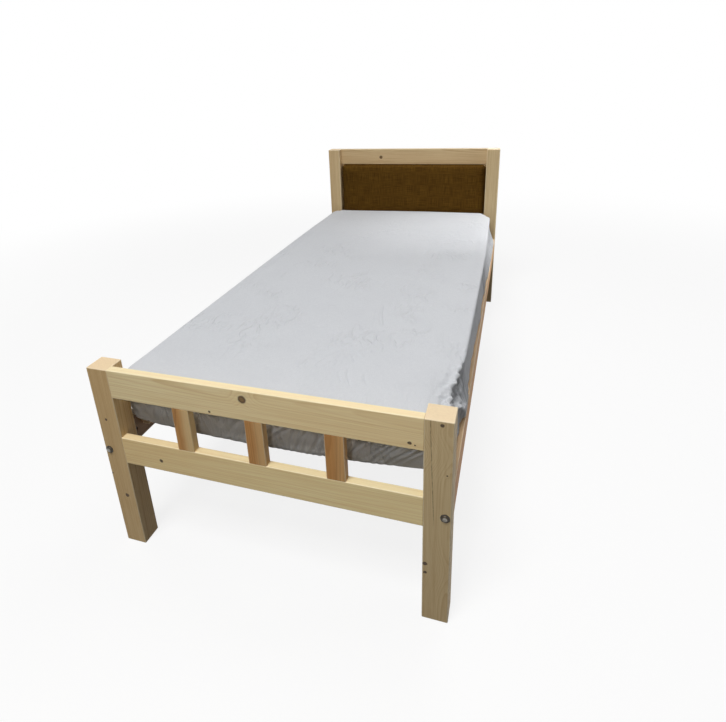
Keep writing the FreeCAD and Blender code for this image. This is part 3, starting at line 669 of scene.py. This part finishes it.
def pick(piece, kind, wanted):
    """In edit mode, select the edges or faces that a test says yes to."""
    bpy.ops.mesh.select_mode(type={"edges": "EDGE", "faces": "FACE"}[kind])
    mesh = bmesh.from_edit_mesh(piece.data)
    for item in mesh.verts[:] + mesh.edges[:] + mesh.faces[:]:
        item.select_set(False)
    for item in getattr(mesh, kind):
        if wanted(item):
            item.select_set(True)
    mesh.select_flush_mode()
    bmesh.update_edit_mesh(piece.data)


def round_edges(piece, wanted, offset, segments):
    """In edit mode, bevel the edges that a test says yes to."""
    pick(piece, "edges", wanted)
    bpy.ops.mesh.bevel(offset=offset, segments=segments, affect="EDGES")


def cut_away(piece, wanted):
    """In edit mode, delete the faces that a test says yes to."""
    pick(piece, "faces", wanted)
    bpy.ops.mesh.delete(type="FACE")


def runs_along(axis):
    """A test for edges that are parallel to one axis."""
    def parallel(edge):
        a, b = (vertex.co for vertex in edge.verts)
        return (b - a).length > 0 and abs((b - a).normalized()[axis]) > 0.99
    return parallel


def finish_modifier(piece, kind, **settings):
    """Add a modifier with these settings and apply it."""
    select_only(piece)
    modifier = piece.modifiers.new(kind.lower(), kind)
    for name, value in settings.items():
        setattr(modifier, name, value)
    bpy.ops.object.modifier_apply(modifier=modifier.name)


# %% Arrays of points
def vectors_of(items, name):
    """One vector of each of a mesh's points or faces, as an array."""
    values = np.zeros(len(items) * 3)
    items.foreach_get(name, values)
    return values.reshape(-1, 3)


def points_of(piece):
    """The mesh's points as an array."""
    return vectors_of(piece.data.vertices, "co")


def set_points(piece, points):
    """Move the mesh's points."""
    piece.data.vertices.foreach_set("co", points.ravel())
    piece.data.update()


def map_flat(piece):
    """A flat map in metres from six sides, for woven finishes."""
    with editing(piece):
        bpy.ops.mesh.select_all(action="SELECT")
        bpy.ops.uv.cube_project(cube_size=1.0, correct_aspect=False)
    bpy.ops.object.shade_smooth()


def soft_step(values, low, high):
    """0 below low, 1 above high, and a soft rise between."""
    share = np.clip((values - low) / (high - low), 0, 1)
    return share * share * (3 - 2 * share)


def window(values, a, b, c, d):
    """0 outside a and d, 1 between b and c, and soft slopes between."""
    return soft_step(values, a, b) * soft_step(-values, -d, -c)


def hump(values, middle, wide):
    """1 at the middle, and a soft fall to 0 on both sides."""
    return np.exp(-((values - middle) / wide) ** 2)


# %% [markdown]
# ## The mattress
# The mattress is a block of foam in a ticking cover: round corners in plan, soft edges, a low
# crown on top, and a flat underside where it lies on the slats. Almost all of it is under the
# sheet, so it is a simple form, and its main work is to hold the sheet up. The same function
# makes the sheet's start, a little larger. The top is higher towards the head, on the right,
# where the mattress isn't worn.

# %% The mattress's form
mattress_low, mattress_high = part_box("mattress_ticking")
corner_radius = 0.060
edge_rounding = 0.0065
edge_drop = 0.003
worn_depth = 0.006
tiny = 1e-5


def top_height(points):
    """How far the top lies under its highest level, in metres, by place in plan."""
    across, along = points[:, 0] / mattress_high.x, points[:, 1] / mattress_high.y
    worn = worn_depth * soft_step(0.3 - across, 0, 1.1) * soft_step(along, -0.2, 1)
    edges = np.clip(np.abs(across), 0, 1) ** 6 + np.clip(np.abs(along), 0, 1) ** 14
    return -worn - edge_drop * np.clip(edges, 0, 1) * (0.3 + 0.7 * soft_step(-along, -0.6, 0.8))


def mattress_block(name, side, top, under, voxel):
    """The mattress's form, grown by a margin at its sides, top and underside."""
    low = mattress_low - Vector((side, side, under))
    high = mattress_high + Vector((side, side, top))
    block = new_block(name, low, high)
    with editing(block):
        round_edges(block, runs_along(2), corner_radius + side, 8)
        round_edges(block, lambda edge: min(v.co.z for v in edge.verts) > high.z - tiny,
                    edge_rounding + side, 6)
        round_edges(block, lambda edge: max(v.co.z for v in edge.verts) < low.z + tiny,
                    edge_rounding / 4, 3)
    finish_modifier(block, "REMESH", mode="VOXEL", voxel_size=voxel)
    points = points_of(block)
    near_top = soft_step(points[:, 2], high.z - 0.06, high.z - 0.001)
    points[:, 2] += top_height(points) * near_top
    set_points(block, points)
    return block


def plan_out(points):
    """How far each point is past the start of the round corners in plan, and which way is out."""
    straight = np.array([mattress_high.x, mattress_high.y]) - corner_radius
    outside = np.clip(np.abs(points[:, :2]) - straight, 0, None)
    reach = np.maximum(np.linalg.norm(outside, axis=1), 1e-9)
    return reach, outside / reach[:, None] * np.sign(points[:, :2])


def drawn_to_edge(points, weight, margin):
    """Points put onto the form's rounded top edge, in the order that they had across it."""
    reach, way = plan_out(points)
    rounding = edge_rounding + margin
    inside = corner_radius + margin - reach
    below = mattress_high.z + margin + top_height(points) - points[:, 2]
    past = below - inside
    turn = (np.clip(past / rounding, -1, 1) + 1) * math.pi / 4
    on_arc = np.abs(past) < rounding
    new_inside = np.where(on_arc, rounding * (1 - np.sin(turn)), np.clip(-past, 0, None))
    new_below = np.where(on_arc, rounding * (1 - np.cos(turn)), np.clip(past, 0, None))
    moved = points.copy()
    moved[:, :2] += way * (weight * (inside - new_inside))[:, None]
    moved[:, 2] += weight * (below - new_below)
    return moved


# %% The mattress itself
mattress = mattress_block("mattress_pad", -0.012, -0.0040, 0.0, 0.014)
mattress.data.materials.append(ticking_cloth)
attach(mattress, "mattress")
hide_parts("mattress_ticking", "mattress_foam")
print("mattress:", len(mattress.data.polygons), "faces")


# %% [markdown]
# ## The fitted sheet
# The sheet is a single cloth with four sewn corners. It lies smooth on top, comes down the
# sides, and turns in under the mattress, where an elastic hem draws it together. Its start is
# the mattress's own form with the middle of the underside cut out.

# %% The sheet's start
sheet_gap = 0.0012
sheet_square = 0.0115
turn_under = 0.12
half_wide = mattress_high.x + sheet_gap
half_long = mattress_high.y + sheet_gap
opening_wide, opening_long = half_wide - turn_under, half_long - turn_under
sheet_low = mattress_low.z - sheet_gap / 4


def in_opening(face):
    """Whether a face is in the middle of the underside, which the sheet leaves bare."""
    middle = face.calc_center_median()
    return face.normal.z < -0.9 and abs(middle.x) < opening_wide and abs(middle.y) < opening_long


sheet = mattress_block("bed_sheet", sheet_gap, sheet_gap, sheet_gap / 4, sheet_square)
with editing(sheet):
    cut_away(sheet, in_opening)
print("sheet's start:", len(sheet.data.polygons), "faces")


# %% [markdown]
# ### Places on the sheet
# Folds follow the mattress's edge, so each point of the cloth is given a place along that edge,
# and a height: 0 at the lower edge, 1 at the top edge, and more than 1 further in on the top.
# Lines of equal place fan out round a corner, as the pleats of a gathered corner do.

# %% Places along the edge
side_height = mattress_high.z - mattress_low.z
fan_radius = 0.15
core = np.array([half_wide - fan_radius, half_long - fan_radius])
edge_length = 4 * core.sum() + 2 * math.pi * fan_radius


def edge_places(points):
    """For each point: its place along the edge, its height, and whether it is underneath."""
    plan = points[:, :2]
    held = np.clip(plan, -core, core)
    away = plan - held
    angle = np.mod(np.arctan2(away[:, 1], away[:, 0]), 2 * math.pi)
    x, y = held.T
    slip = 1e-4
    along = fan_radius * angle
    along += np.where(angle < math.pi - slip, y + core[1], 3 * core[1] - y)
    along += np.where(angle < 1.5 * math.pi - slip, core[0] - x, 3 * core[0] + x)
    beyond = np.abs(plan) - (np.array([half_wide, half_long]) - corner_radius)
    inward = corner_radius - np.linalg.norm(np.clip(beyond, 0, None), axis=1) - np.clip(
        beyond.max(axis=1), None, 0)
    under = (points[:, 2] < sheet_low + 0.004) & (inward > 0.008)
    height = (points[:, 2] - sheet_low + np.clip(inward - 0.003, 0, None)) / side_height
    height[under] = -inward[under] / side_height
    return along, height, under


def wrapped(places):
    """Differences of place, the short way round."""
    return (places + edge_length / 2) % edge_length - edge_length / 2


ruffle_place = edge_places(np.array([[half_wide, -0.80, mattress_high.z]]))[0][0]
print("edge length: %.3f m" % edge_length)


# %% [markdown]
# ### Drawing the cloth in
# The cloth's sides are longer than the mattress they cover, and the elastic holds their lower
# edge. Blender's cloth is told so: the underside is held, the sides are a few percent too long,
# and the mattress stands in the way. In a few frames the spare cloth buckles into soft, uneven
# folds, which no formula gives as well. No point may move further than a few millimetres.

# %% Cloth simulation
def let_fall(piece, held, slack, spare, frames, reach, gravity, **settings):
    """Run cloth on a piece, with weights for how held and how slack each point is."""
    start = points_of(piece)
    for name, weights in (("held", held), ("slack", slack)):
        group = piece.vertex_groups.new(name=name)
        for level in np.unique(weights):
            group.add(np.flatnonzero(weights == level).tolist(), float(level), "REPLACE")
    modifier = piece.modifiers.new("cloth", "CLOTH")
    modifier.collision_settings.distance_min = 0.0015
    modifier.settings.effector_weights.gravity = gravity
    settings |= {"vertex_group_mass": "held", "vertex_group_shrink": "slack",
                 "shrink_max": -spare, "quality": 5}
    for name, value in settings.items():
        setattr(modifier.settings, name, value)
    for frame_number in range(1, frames + 1):
        bpy.context.scene.frame_set(frame_number)
    select_only(piece)
    bpy.ops.object.modifier_apply(modifier=modifier.name)
    bpy.context.scene.frame_set(1)
    piece.vertex_groups.clear()
    moved = points_of(piece) - start
    distance = np.linalg.norm(moved, axis=1, keepdims=True)
    moved *= np.minimum(1, reach / np.maximum(distance, 1e-9))
    set_points(piece, start + moved)
    print("cloth moved %s by up to %.1f mm" % (piece.name, 1000 * min(reach, distance.max())))


points = points_of(sheet)
along, height, under = edge_places(points)
held = np.round(np.where(under, 1.0, 0.25 * soft_step(height, 1.1, 1.5)), 1)
slack = np.round(np.where(under, 0.0, 1 - soft_step(height, 0.85, 1.25)), 1)
bumper = mattress.modifiers.new("bumper", "COLLISION")
mattress.collision.thickness_outer = 0.001
let_fall(sheet, held, slack, 0.10, 14, 0.008, 0.1, mass=0.15, tension_stiffness=25,
         compression_stiffness=25, shear_stiffness=3, bending_stiffness=0.05)
mattress.modifiers.remove(bumper)


# %% [markdown]
# ### Finer squares where it folds
# Gathers are narrower than the squares so far, so the sides are divided once, the corners
# twice, and so are narrow strips on top where the cloth is creased. The creases lie where they
# do on the real sheet: they are written as short lines in plan, each with a height.

# %% Creases on top: the two ends of each line in plan, and its height, in millimetres
CREASES = np.array([
    (-188, -123, -158, -119, -0.7), (-26, -393, 2, -387, -0.7), (120, -75, 158, -68, 1.4),
    (200, -130, 190, -215, 1.6), (118, -130, 108, -190, 0.8), (160, -360, 186, -500, 1.5),
    (138, -400, 152, -480, 0.7), (-302, -110, -306, -170, 0.8), (-60, -285, -35, -238, 0.8),
    (-188, -515, -176, -575, 0.9), (-220, -665, -170, -630, 0.7), (122, -640, 152, -616, 1.1),
    (158, -776, 184, -852, 1.2), (140, -790, 158, -842, 0.9), (150, -690, 162, -735, 0.8),
    (208, -786, 222, -836, 0.8), (266, -643, 280, -605, 1.1), (220, 285, 204, 205, 0.9),
    (144, 198, 158, 242, 0.8), (65, 264, 102, 252, 0.7), (326, -70, 321, -115, 0.8),
    (-60, -210, -20, -180, 0.6), (66, -185, 78, -245, 0.6), (-10, -545, 28, -518, 0.8),
    (30, -700, 52, -668, 0.6), (-120, -420, -104, -455, 0.6), (405, -868, 440, -822, 1.2),
    (410, -830, 443, -802, -1.6), (408, -790, 445, -778, 1.4), (414, -766, 446, -748, -1.4),
    (418, -732, 449, -720, 1.0)]) / 1000


def crease_places(points, crease):
    """Each point's distance beside a crease, its share of the way along, and the length."""
    first, run = crease[:2], crease[2:4] - crease[:2]
    length = np.linalg.norm(run)
    run = run / length
    offset = points[:, :2] - first
    return offset @ np.array([-run[1], run[0]]), offset @ run / length, length


def near_crease(points, margin):
    """Which points lie within a margin of any crease."""
    near = np.zeros(len(points), bool)
    for crease in CREASES:
        side, share, length = crease_places(points, crease)
        room = margin / length
        near |= (np.abs(side) < margin) & (share > -room) & (share < 1 + room)
    return near & (points[:, 2] > mattress_high.z - 0.03)


# %% Divide the sheet
def divide(piece, chosen):
    """Divide the faces that a test on their centres chooses."""
    wanted = chosen(vectors_of(piece.data.polygons, "center"))
    with editing(piece):
        bmesh.from_edit_mesh(piece.data).faces.ensure_lookup_table()
        pick(piece, "faces", lambda face: wanted[face.index])
        bpy.ops.mesh.subdivide(number_cuts=1)


def on_side(centres):
    """The sides, and wide strips at the creases."""
    _, height, _ = edge_places(centres)
    return (height > -0.05) & (height < 1.25) | near_crease(centres, 0.022)


def at_corner(centres):
    """The corners, the right part of the foot, the right top edge, and the creases."""
    _, height, _ = edge_places(centres)
    corner = np.abs(centres[:, :2]) - np.array([half_wide, half_long]) + 0.10
    foot_right = (centres[:, 1] < -half_long + 0.02) & (centres[:, 0] > -0.12)
    right_edge = (centres[:, 0] > half_wide - 0.022) & (height > 0.88)
    chosen = (corner.min(axis=1) > 0) | foot_right | right_edge
    return (chosen & (height > 0) & (height < 1.2)) | near_crease(centres, 0.009)


def at_ruffles(centres):
    """The bunched cloth on the right, near the foot."""
    along, height, _ = edge_places(centres)
    return (np.abs(wrapped(along - ruffle_place)) < 0.182) & (height > -0.02) & (height < 1.30)


finish_modifier(sheet, "SMOOTH", factor=0.5, iterations=2)
divide(sheet, on_side)
divide(sheet, at_corner)
divide(sheet, at_ruffles)
points = points_of(sheet)
along, height, under = edge_places(points)
near_edge = window(height, 0.78, 0.92, 1.15, 1.35)
set_points(sheet, drawn_to_edge(points, near_edge, sheet_gap))
print("sheet:", len(sheet.data.polygons), "faces")


# %% [markdown]
# ### Gathers, creases and the lower edge
# A gather is a narrow valley with a rounded shoulder on each side. They are deepest at the
# corners, where a flat cloth has most to spare, and shallow along the sides. Each is drawn
# with a fixed seed: its depth, width, lean, how far up it reaches, and the way to the next.

# %% Gathers
corner_arc = fan_radius * math.pi / 2
right, head = 2 * core[1], 2 * core[1] + corner_arc
head_left, left = head + 2 * core[0], head + 2 * core[0] + corner_arc
foot_left, foot = left + 2 * core[1], left + 2 * core[1] + corner_arc
foot_right = foot + 2 * core[0]
UPRIGHT = (-0.022, 0.022)
# each stretch: start, end, pitch, then the ranges of depth, width, reach up and lean
STRETCHES = [
    (0.20, 0.95, 0.080, (0.0008, 0.0022), (0.007, 0.013), (0.30, 0.70), UPRIGHT),
    (0.95, right, 0.030, (0.0030, 0.0056), (0.005, 0.009), (0.65, 1.10), UPRIGHT),
    (head, head_left, 0.055, (0.0012, 0.0030), (0.007, 0.012), (0.30, 0.70), UPRIGHT),
    (left, foot_left, 0.060, (0.0012, 0.0032), (0.007, 0.014), (0.35, 0.85), UPRIGHT),
    (foot, foot + 0.13, 0.045, (0.0008, 0.0018), (0.008, 0.014), (0.50, 1.00), (-0.10, 0.10)),
    (foot + 0.13, foot + 0.30, 0.024, (0.0024, 0.0050), (0.005, 0.009), (0.80, 1.30),
     (-0.16, 0.20)),
    (foot + 0.30, foot + 0.45, 0.016, (0.0022, 0.0046), (0.004, 0.006), (0.80, 1.20),
     (-0.03, 0.09)),
    (foot + 0.45, foot_right + 0.04, 0.020, (0.0030, 0.0056), (0.004, 0.007), (0.90, 1.30),
     (0.09, 0.17)),
    *((corner - 0.05, corner + corner_arc + 0.05, 0.022, (0.0028, 0.0055), (0.005, 0.009),
       (0.70, 1.25), UPRIGHT) for corner in (right, head_left)),
    (foot_left - 0.05, foot + 0.02, 0.030, (0.0018, 0.0036), (0.007, 0.011), (0.60, 1.10),
     (-0.05, 0.05)),
    (ruffle_place - 0.13, ruffle_place + 0.15, 0.016, (0.0022, 0.0046), (0.0036, 0.0062),
     (0.90, 1.40), UPRIGHT),
    (0.14, 0.30, 0.030, (0.0015, 0.0030), (0.005, 0.009), (0.50, 1.00), UPRIGHT)]
dice = np.random.default_rng(21)
gathers = []
for place, end, pitch, *ranges in STRETCHES:
    while place < end:
        gathers.append([place, *(dice.uniform(*limits) for limits in ranges)])
        place += pitch * dice.uniform(0.6, 1.5)
print("gathers:", len(gathers))


def gather_field(along, height):
    """How far the cloth stands out, in metres, from all its gathers."""
    field = np.zeros(len(along))
    for place, depth, width, reach, lean in gathers:
        offset = wrapped(along - place - lean * height)
        close = np.abs(offset) < 5 * width
        step = offset[close] / width
        shape = 0.35 * np.exp(-((np.abs(step) - 1.7) / 0.9) ** 2) - np.exp(-step ** 2)
        field[close] += depth * shape * soft_step(reach - height[close], 0, 0.55)
    return field


def slow_wave(along, *terms):
    """A few added waves along the edge, each (times round, size, shift)."""
    turns = 2 * math.pi * along / edge_length
    return sum(size * np.sin(times * turns + shift) for times, size, shift in terms)


# %% [markdown]
# The edges aren't straight. On the left the top edge stands out a little all along. On the right
# it is full along most of the side and is drawn inwards near the foot, where the spare cloth is
# bunched, a fold slants down to the side rail, and a flat fold lies on the rail. The lower edge
# stands out over that rail near the head. At the foot, past the last slat, the lower edge hangs
# free: it sags in the middle and rises to both corners, and the left corner is full. The
# mattress gives way in the same places, so the shared forms are functions of place.

# %% Forms that the sheet and the mattress share
# Each table has places along the bed, or across it at the foot, and a value for each, in mm.
RIGHT_FLARE = ([-950, -740, -700, -660, -600, -550, -300, -120, 0, 200, 450, 750, 900],
               [-3, -3, 8, 12, 10, 2, 2, 8, 5, 4, 9, 13, 10])
RIGHT_FOLD = ([-705, -690, -665, -645], [0, 12, 12, 0])
LEFT_EDGE = ([-950, -900, -820, 600, 780, 950], [6, 10, 11, 11, 15, 16])
RIGHT_EDGE = ([-950, -900, -840, -780, -730, -680, -620, 250, 550, 800, 950],
              [-4, -10, -16, -16, -11, -4, 3, 4, -4, -11, -14])
FOOT_LEVELS = ([-440, -333, -223, -161, -77, 51, 124, 218, 266, 393, 440],
               [392, 382.6, 376.2, 374.8, 373.2, 374.2, 375.6, 378.5, 380.8, 392.5, 396])
last_slat = -0.885


def table_of(values, table):
    """Values in metres, read from a table at places in metres."""
    places, levels = np.array(table) / 1000
    return np.interp(values, places, levels)


def edge_shift(points):
    """How far the top edges of both sides are moved along X."""
    x, y, z = points.T
    on_right = table_of(y, RIGHT_EDGE) * soft_step(x, 0.34, 0.44)
    on_left = table_of(y, LEFT_EDGE) * soft_step(-x, 0.34, 0.44)
    return (on_right + on_left) * soft_step((z - sheet_low) / side_height, 0.05, 0.85)


def edge_sag(points):
    """How far the drawn-in part of the top edge sinks."""
    x, y, z = points.T
    drawn_in = np.clip(-table_of(y, RIGHT_EDGE), 0, None) * soft_step(x, 0.385, 0.450)
    return 0.9 * drawn_in * soft_step((z - sheet_low) / side_height, 0.3, 1.0)


def foot_lift(points):
    """How far the lower edge at the foot is above the height of the rest."""
    x, y, z = points.T
    past_slat = soft_step(-y, -last_slat, -last_slat + 0.045)
    low = soft_step(sheet_low + 0.07 - z, 0, 0.07)
    return (table_of(x, FOOT_LEVELS) - sheet_low) * past_slat * low


points = points_of(mattress)
shift, sunk = edge_shift(points), edge_sag(points)
lift = np.maximum(foot_lift(points + shift[:, None] * (1, 0, 0)), 0)
set_points(mattress, points + np.column_stack([shift, 0 * shift, lift - sunk]))
map_flat(mattress)


# %% The sheet's own folds
def rumples(points, height):
    """Soft lumps of the spare cloth on the right, near the foot, where the edge is drawn in."""
    x, y, _ = points.T
    zone = soft_step(x, half_wide - 0.05, half_wide - 0.02)
    zone *= window(y, -0.93, -0.88, -0.70, -0.62) * window(height, 0.2, 0.5, 1.05, 1.30)
    upright = 0.0024 * np.sin(190 * y + 2.5 * np.sin(6 * height) + 14 * height)
    upright *= 1 - 0.5 * soft_step(height, 0.95, 1.1)
    level = 0.0036 * np.sin(26 * height + 34 * y + 1.6 * np.sin(40 * y))
    return zone * (upright + level)


def slanting_fold(points, height):
    """One fold that comes down the right side, next to the post, and ends on the side rail."""
    along = points[:, 1]
    ends = window(along, -0.84, -0.76, -0.685, -0.655)
    return 0.013 * ends * hump(height, 0.52 - 5.0 * (along + 0.77), 0.11)


def full_corner(points, height):
    """How far the foot's left corner bulges at half its height."""
    x, y, _ = points.T
    return 0.011 * soft_step(-x, 0.39, 0.43) * soft_step(-y, 0.89, 0.93) * hump(height, 0.5, 0.32)


points = points_of(sheet)
x, y, _ = points.T
along, height, under = edge_places(points)
side = np.where(under, 0, 1)
low_part = soft_step(0.45 - height, 0, 0.45) * side
on_right = soft_step(x, half_wide - 0.02, half_wide - 0.002)
waves = slow_wave(along, (23, 0.0009, 0.4), (37, 0.0007, 2.0), (61, 0.0005, 1.1))
field = side * (gather_field(along, height) + rumples(points, height))
field += low_part * (0.0015 + waves + on_right * table_of(y, RIGHT_FLARE))
field += on_right * side * soft_step(0.13 - height, 0, 0.08) * table_of(y, RIGHT_FOLD)
field += side * (on_right * slanting_fold(points, height) + full_corner(points, height))
deepest = 0.0065
field = np.where(field < 0, deepest * np.tanh(field / deepest), field)
at_foot = soft_step(-y, half_long - 0.05, half_long - 0.02)
field *= 1 - 0.65 * at_foot * soft_step(0.30 - height, 0, 0.30)

level_way = np.column_stack([plan_out(points)[1], np.zeros(len(points))])
above = soft_step(height, 0.82, 1.0)[:, None]
direction = level_way * (1 - above) + vectors_of(sheet.data.vertices, "normal") * above
shift, raised = edge_shift(points), foot_lift(points) - edge_sag(points)
points += direction * field[:, None] + np.column_stack([shift, 0 * shift, raised])

# %% Creases, and room for the rails and posts
crease_strength = 2.6
for crease in CREASES:
    offset, share, _ = crease_places(points, crease)
    close = (np.abs(offset) < 0.03) & (share > -0.3) & (share < 1.3)
    close &= points[:, 2] > mattress_high.z - 0.03
    ends = window(share[close], -0.15, 0.25, 0.75, 1.15)
    bow = offset[close] + 0.002 * np.sin(5 * share[close])
    form = hump(bow, 0, 0.0030) - 0.6 * hump(bow, 0.0055, 0.0035)
    points[close, 2] += crease_strength * crease[4] * ends * form

on_rail = (np.abs(points[:, 0]) > 0.40) | (points[:, 1] > last_slat)
points[on_rail, 2] = np.maximum(points[on_rail, 2], sheet_low - 0.0003)
post_gap = 0.0095
side_room = 0.469
points[:, 1] = np.clip(points[:, 1], -half_long - post_gap, half_long + post_gap)
points[:, 0] = np.clip(points[:, 0], -side_room, side_room)
set_points(sheet, points)
map_flat(sheet)
sheet.data.materials.append(sheet_cloth)
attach(sheet, "mattress")
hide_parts("fitted_sheet")


# %% [markdown]
# ## The elastic hem
# A narrow ribbed elastic is sewn to the sheet's edge, all round the opening underneath. The
# edge's own loop is copied, drawn inwards to a band, and given its thickness.

# %% Elastic
elastic_wide = 0.008
elastic_thick = 0.0012
with editing(sheet):
    pick(sheet, "edges", lambda edge: edge.is_boundary)
    bpy.ops.mesh.duplicate()
    bpy.ops.mesh.separate(type="SELECTED")
elastic = [piece for piece in bpy.context.selected_objects if piece is not sheet][0]
elastic.name = elastic.data.name = "hem_elastic"
with editing(elastic):
    bpy.ops.mesh.select_all(action="SELECT")
    bpy.ops.mesh.extrude_edges_move()
    draw_in = (1 - elastic_wide / opening_wide, 1 - elastic_wide / opening_long, 1)
    bpy.ops.transform.resize(value=draw_in, center_override=(0, 0, 0))
    bpy.ops.mesh.select_all(action="SELECT")
    bpy.ops.transform.translate(value=(0, 0, 0.0009))
    bpy.ops.mesh.normals_make_consistent(inside=False)
finish_modifier(elastic, "SOLIDIFY", thickness=elastic_thick, offset=0)
elastic.data.materials.clear()
map_flat(elastic)
elastic.data.materials.append(elastic_cloth)
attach(elastic, "mattress")
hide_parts("sheet_hem_elastic")
print("elastic:", len(elastic.data.polygons), "faces")


# %% [markdown]
# ## The headboard's cushion
# Foam on a board, with the cover drawn tight round it and stapled behind. The corners and edges
# are round, and the foam pushes the cover out a little: the start is made a few millimetres
# smaller than the pad, and pressure from inside swells it, as air does. The cover goes on round
# the board's edge and is turned over on its back, which leaves the middle of the board bare.

# %% Cushion
cushion_low, cushion_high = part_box("head_panel_cover")
board_low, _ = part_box("head_panel_board")
swell = 0.004
wrap_round = 0.005
margin = Vector((swell, swell, swell))
behind = Vector((cushion_high.x, board_low.y + wrap_round + swell, cushion_high.z))
cushion = new_block("headboard_cushion", cushion_low + margin, behind - margin)
front = cushion_low.y + swell
with editing(cushion):
    round_edges(cushion, runs_along(1), 0.010, 5)
    round_edges(cushion, lambda edge: max(v.co.y for v in edge.verts) < front + tiny, 0.009, 5)
finish_modifier(cushion, "REMESH", mode="VOXEL", voxel_size=0.0075)


def at_board(points):
    """0 on the cushion's front, and 1 from the board's face backwards."""
    return soft_step(points[:, 1], board_low.y - 0.012, board_low.y)


points = points_of(cushion)
let_fall(cushion, np.round(at_board(points), 1), np.zeros(len(points)), 0.0, 12, swell, 0.0,
         mass=0.2, use_pressure=True, uniform_pressure_force=4, tension_stiffness=30,
         compression_stiffness=30, bending_stiffness=0.5)
finish_modifier(cushion, "SUBSURF", levels=1, render_levels=1)
points = points_of(cushion)
middle = np.array((cushion_low + cushion_high) / 2)
rim = np.abs(points - middle) > np.array(cushion_high) - middle - 2 * swell
outwards = np.sign(points - middle) * rim
outwards[:, 1] = 0
points += outwards * (at_board(points)[:, None] * swell)
set_points(cushion, np.clip(points, np.array(cushion_low), np.array(cushion_high)))

# %% The cover's turned-over edge
turn_over = 0.030
cloth_thick = 0.001
edge_start = Vector((cushion_low.x, board_low.y + wrap_round - 0.002, cushion_low.z))
turned = new_block("cover_edge", edge_start, cushion_high)
with editing(turned):
    round_edges(turned, runs_along(1), 0.012, 5)
    cut_away(turned, lambda face: face.normal.y < -0.9)
    pick(turned, "faces", lambda face: face.normal.y > 0.9)
    bpy.ops.mesh.inset(thickness=turn_over, depth=0)
    bpy.ops.mesh.delete(type="FACE")
finish_modifier(turned, "SOLIDIFY", thickness=cloth_thick, offset=-1)
select_only(cushion)
turned.select_set(True)
bpy.ops.object.join()
map_flat(cushion)
cushion.data.materials.append(cover_cloth)
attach(cushion, "frame")
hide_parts("head_panel_cover", "head_panel_foam")
print("cushion:", len(cushion.data.polygons), "faces")


# %% [markdown]
# ## Floor and light
# The floor is plain and pale. To the camera and in reflections it is nearly white and keeps a
# soft shadow, but the light that it throws back on the bed is low, as from a darker floor.
# One large soft lamp stands high in front, to the left. A small one close in front draws the
# shadows beside the uprights. A third hangs from the ceiling over the head end, a spot from the
# right brightens the pillow's place, and weak ones stand at both sides and behind the headboard.

# %% Floor
def seen_directly(tree):
    """1 where the camera sees something, or sees it in a reflection or through clear matter."""
    rays = [add("LightPath", output="Is %s Ray" % kind, tree=tree)
            for kind in ("Camera", "Glossy", "Transmission")]
    return maths("MAXIMUM", rays[0], maths("MAXIMUM", rays[1], rays[2]))


bpy.ops.mesh.primitive_plane_add(size=24, location=(0, 0, 0))
floor = bpy.context.object
floor.name = "floor"
material, shader, place = finish_named(
    "pale floor", Base_Color=(0.06, 0.06, 0.06, 1), Roughness=0.9, Specular_IOR_Level=0.0)
tree = material.node_tree
glow = add("Emission", {"Color": (1, 1, 1, 1), "Strength": 1.0}, tree=tree)
plain = add("BsdfDiffuse", {"Color": (0.9, 0.9, 0.9, 1)}, tree=tree)
far = place.length().eased(1.8, 4.5, 0.84, 1.0)
white = add("MixShader", {0: far, 1: plain, 2: glow})
both = add("MixShader", {0: seen_directly(tree), 1: Wire(shader.outputs[0]), 2: white})
plug(tree.nodes["Material Output"].inputs["Surface"], both)
floor.data.materials.append(material)

# %% Lamps and sky
def lamp(name, place, target, wide, power):
    """A square area lamp that looks at a point."""
    light = bpy.data.lights.new(name, "AREA")
    light.shape = "SQUARE"
    light.size = wide
    light.energy = power
    holder = bpy.data.objects.new(name, light)
    bpy.context.scene.collection.objects.link(holder)
    holder.location = place
    holder.rotation_mode = "QUATERNION"
    holder.rotation_quaternion = (Vector(target) - Vector(place)).to_track_quat("-Z", "Y")
    return holder


lamp("key", (-0.6, -3.2, 5.4), (0.0, -0.5, 0.4), 2.0, 228)
lamp("low", (0.30, -2.0, 1.42), (0.0, -0.97, 0.45), 0.12, 2.4)
lamp("right", (3.2, 0.2, 1.5), (0.45, 0.0, 0.45), 0.8, 11)
lamp("ceiling", (0.8, 0.6, 3.6), (0.6, 0.6, 0.0), 1.6, 32)
lamp("left", (-3.4, 0.3, 1.5), (-0.45, 0.0, 0.4), 1.0, 10)
lamp("back", (0.6, 5.0, 2.0), (0.0, 1.0, 0.5), 2.0, 50)
glow_lamp = lamp("pillow", (1.8, 1.1, 1.9), (0.38, 0.70, 0.5), 0.3, 100)
glow_lamp.data.type = "SPOT"
glow_lamp.data.spot_size = math.radians(28)
glow_lamp.data.spot_blend = 1.0

world = bpy.data.worlds.new("sky")
bpy.context.scene.world = world
world.use_nodes = True
background = world.node_tree.nodes["Background"]
level = add("MapRange", {0: seen_directly(world.node_tree), 1: 0.0, 2: 1.0, 3: 0.03, 4: 1.0})
background.inputs["Color"].default_value = (1, 1, 1, 1)
plug(background.inputs["Strength"], level)
bpy.context.scene.view_settings.view_transform = "Standard"
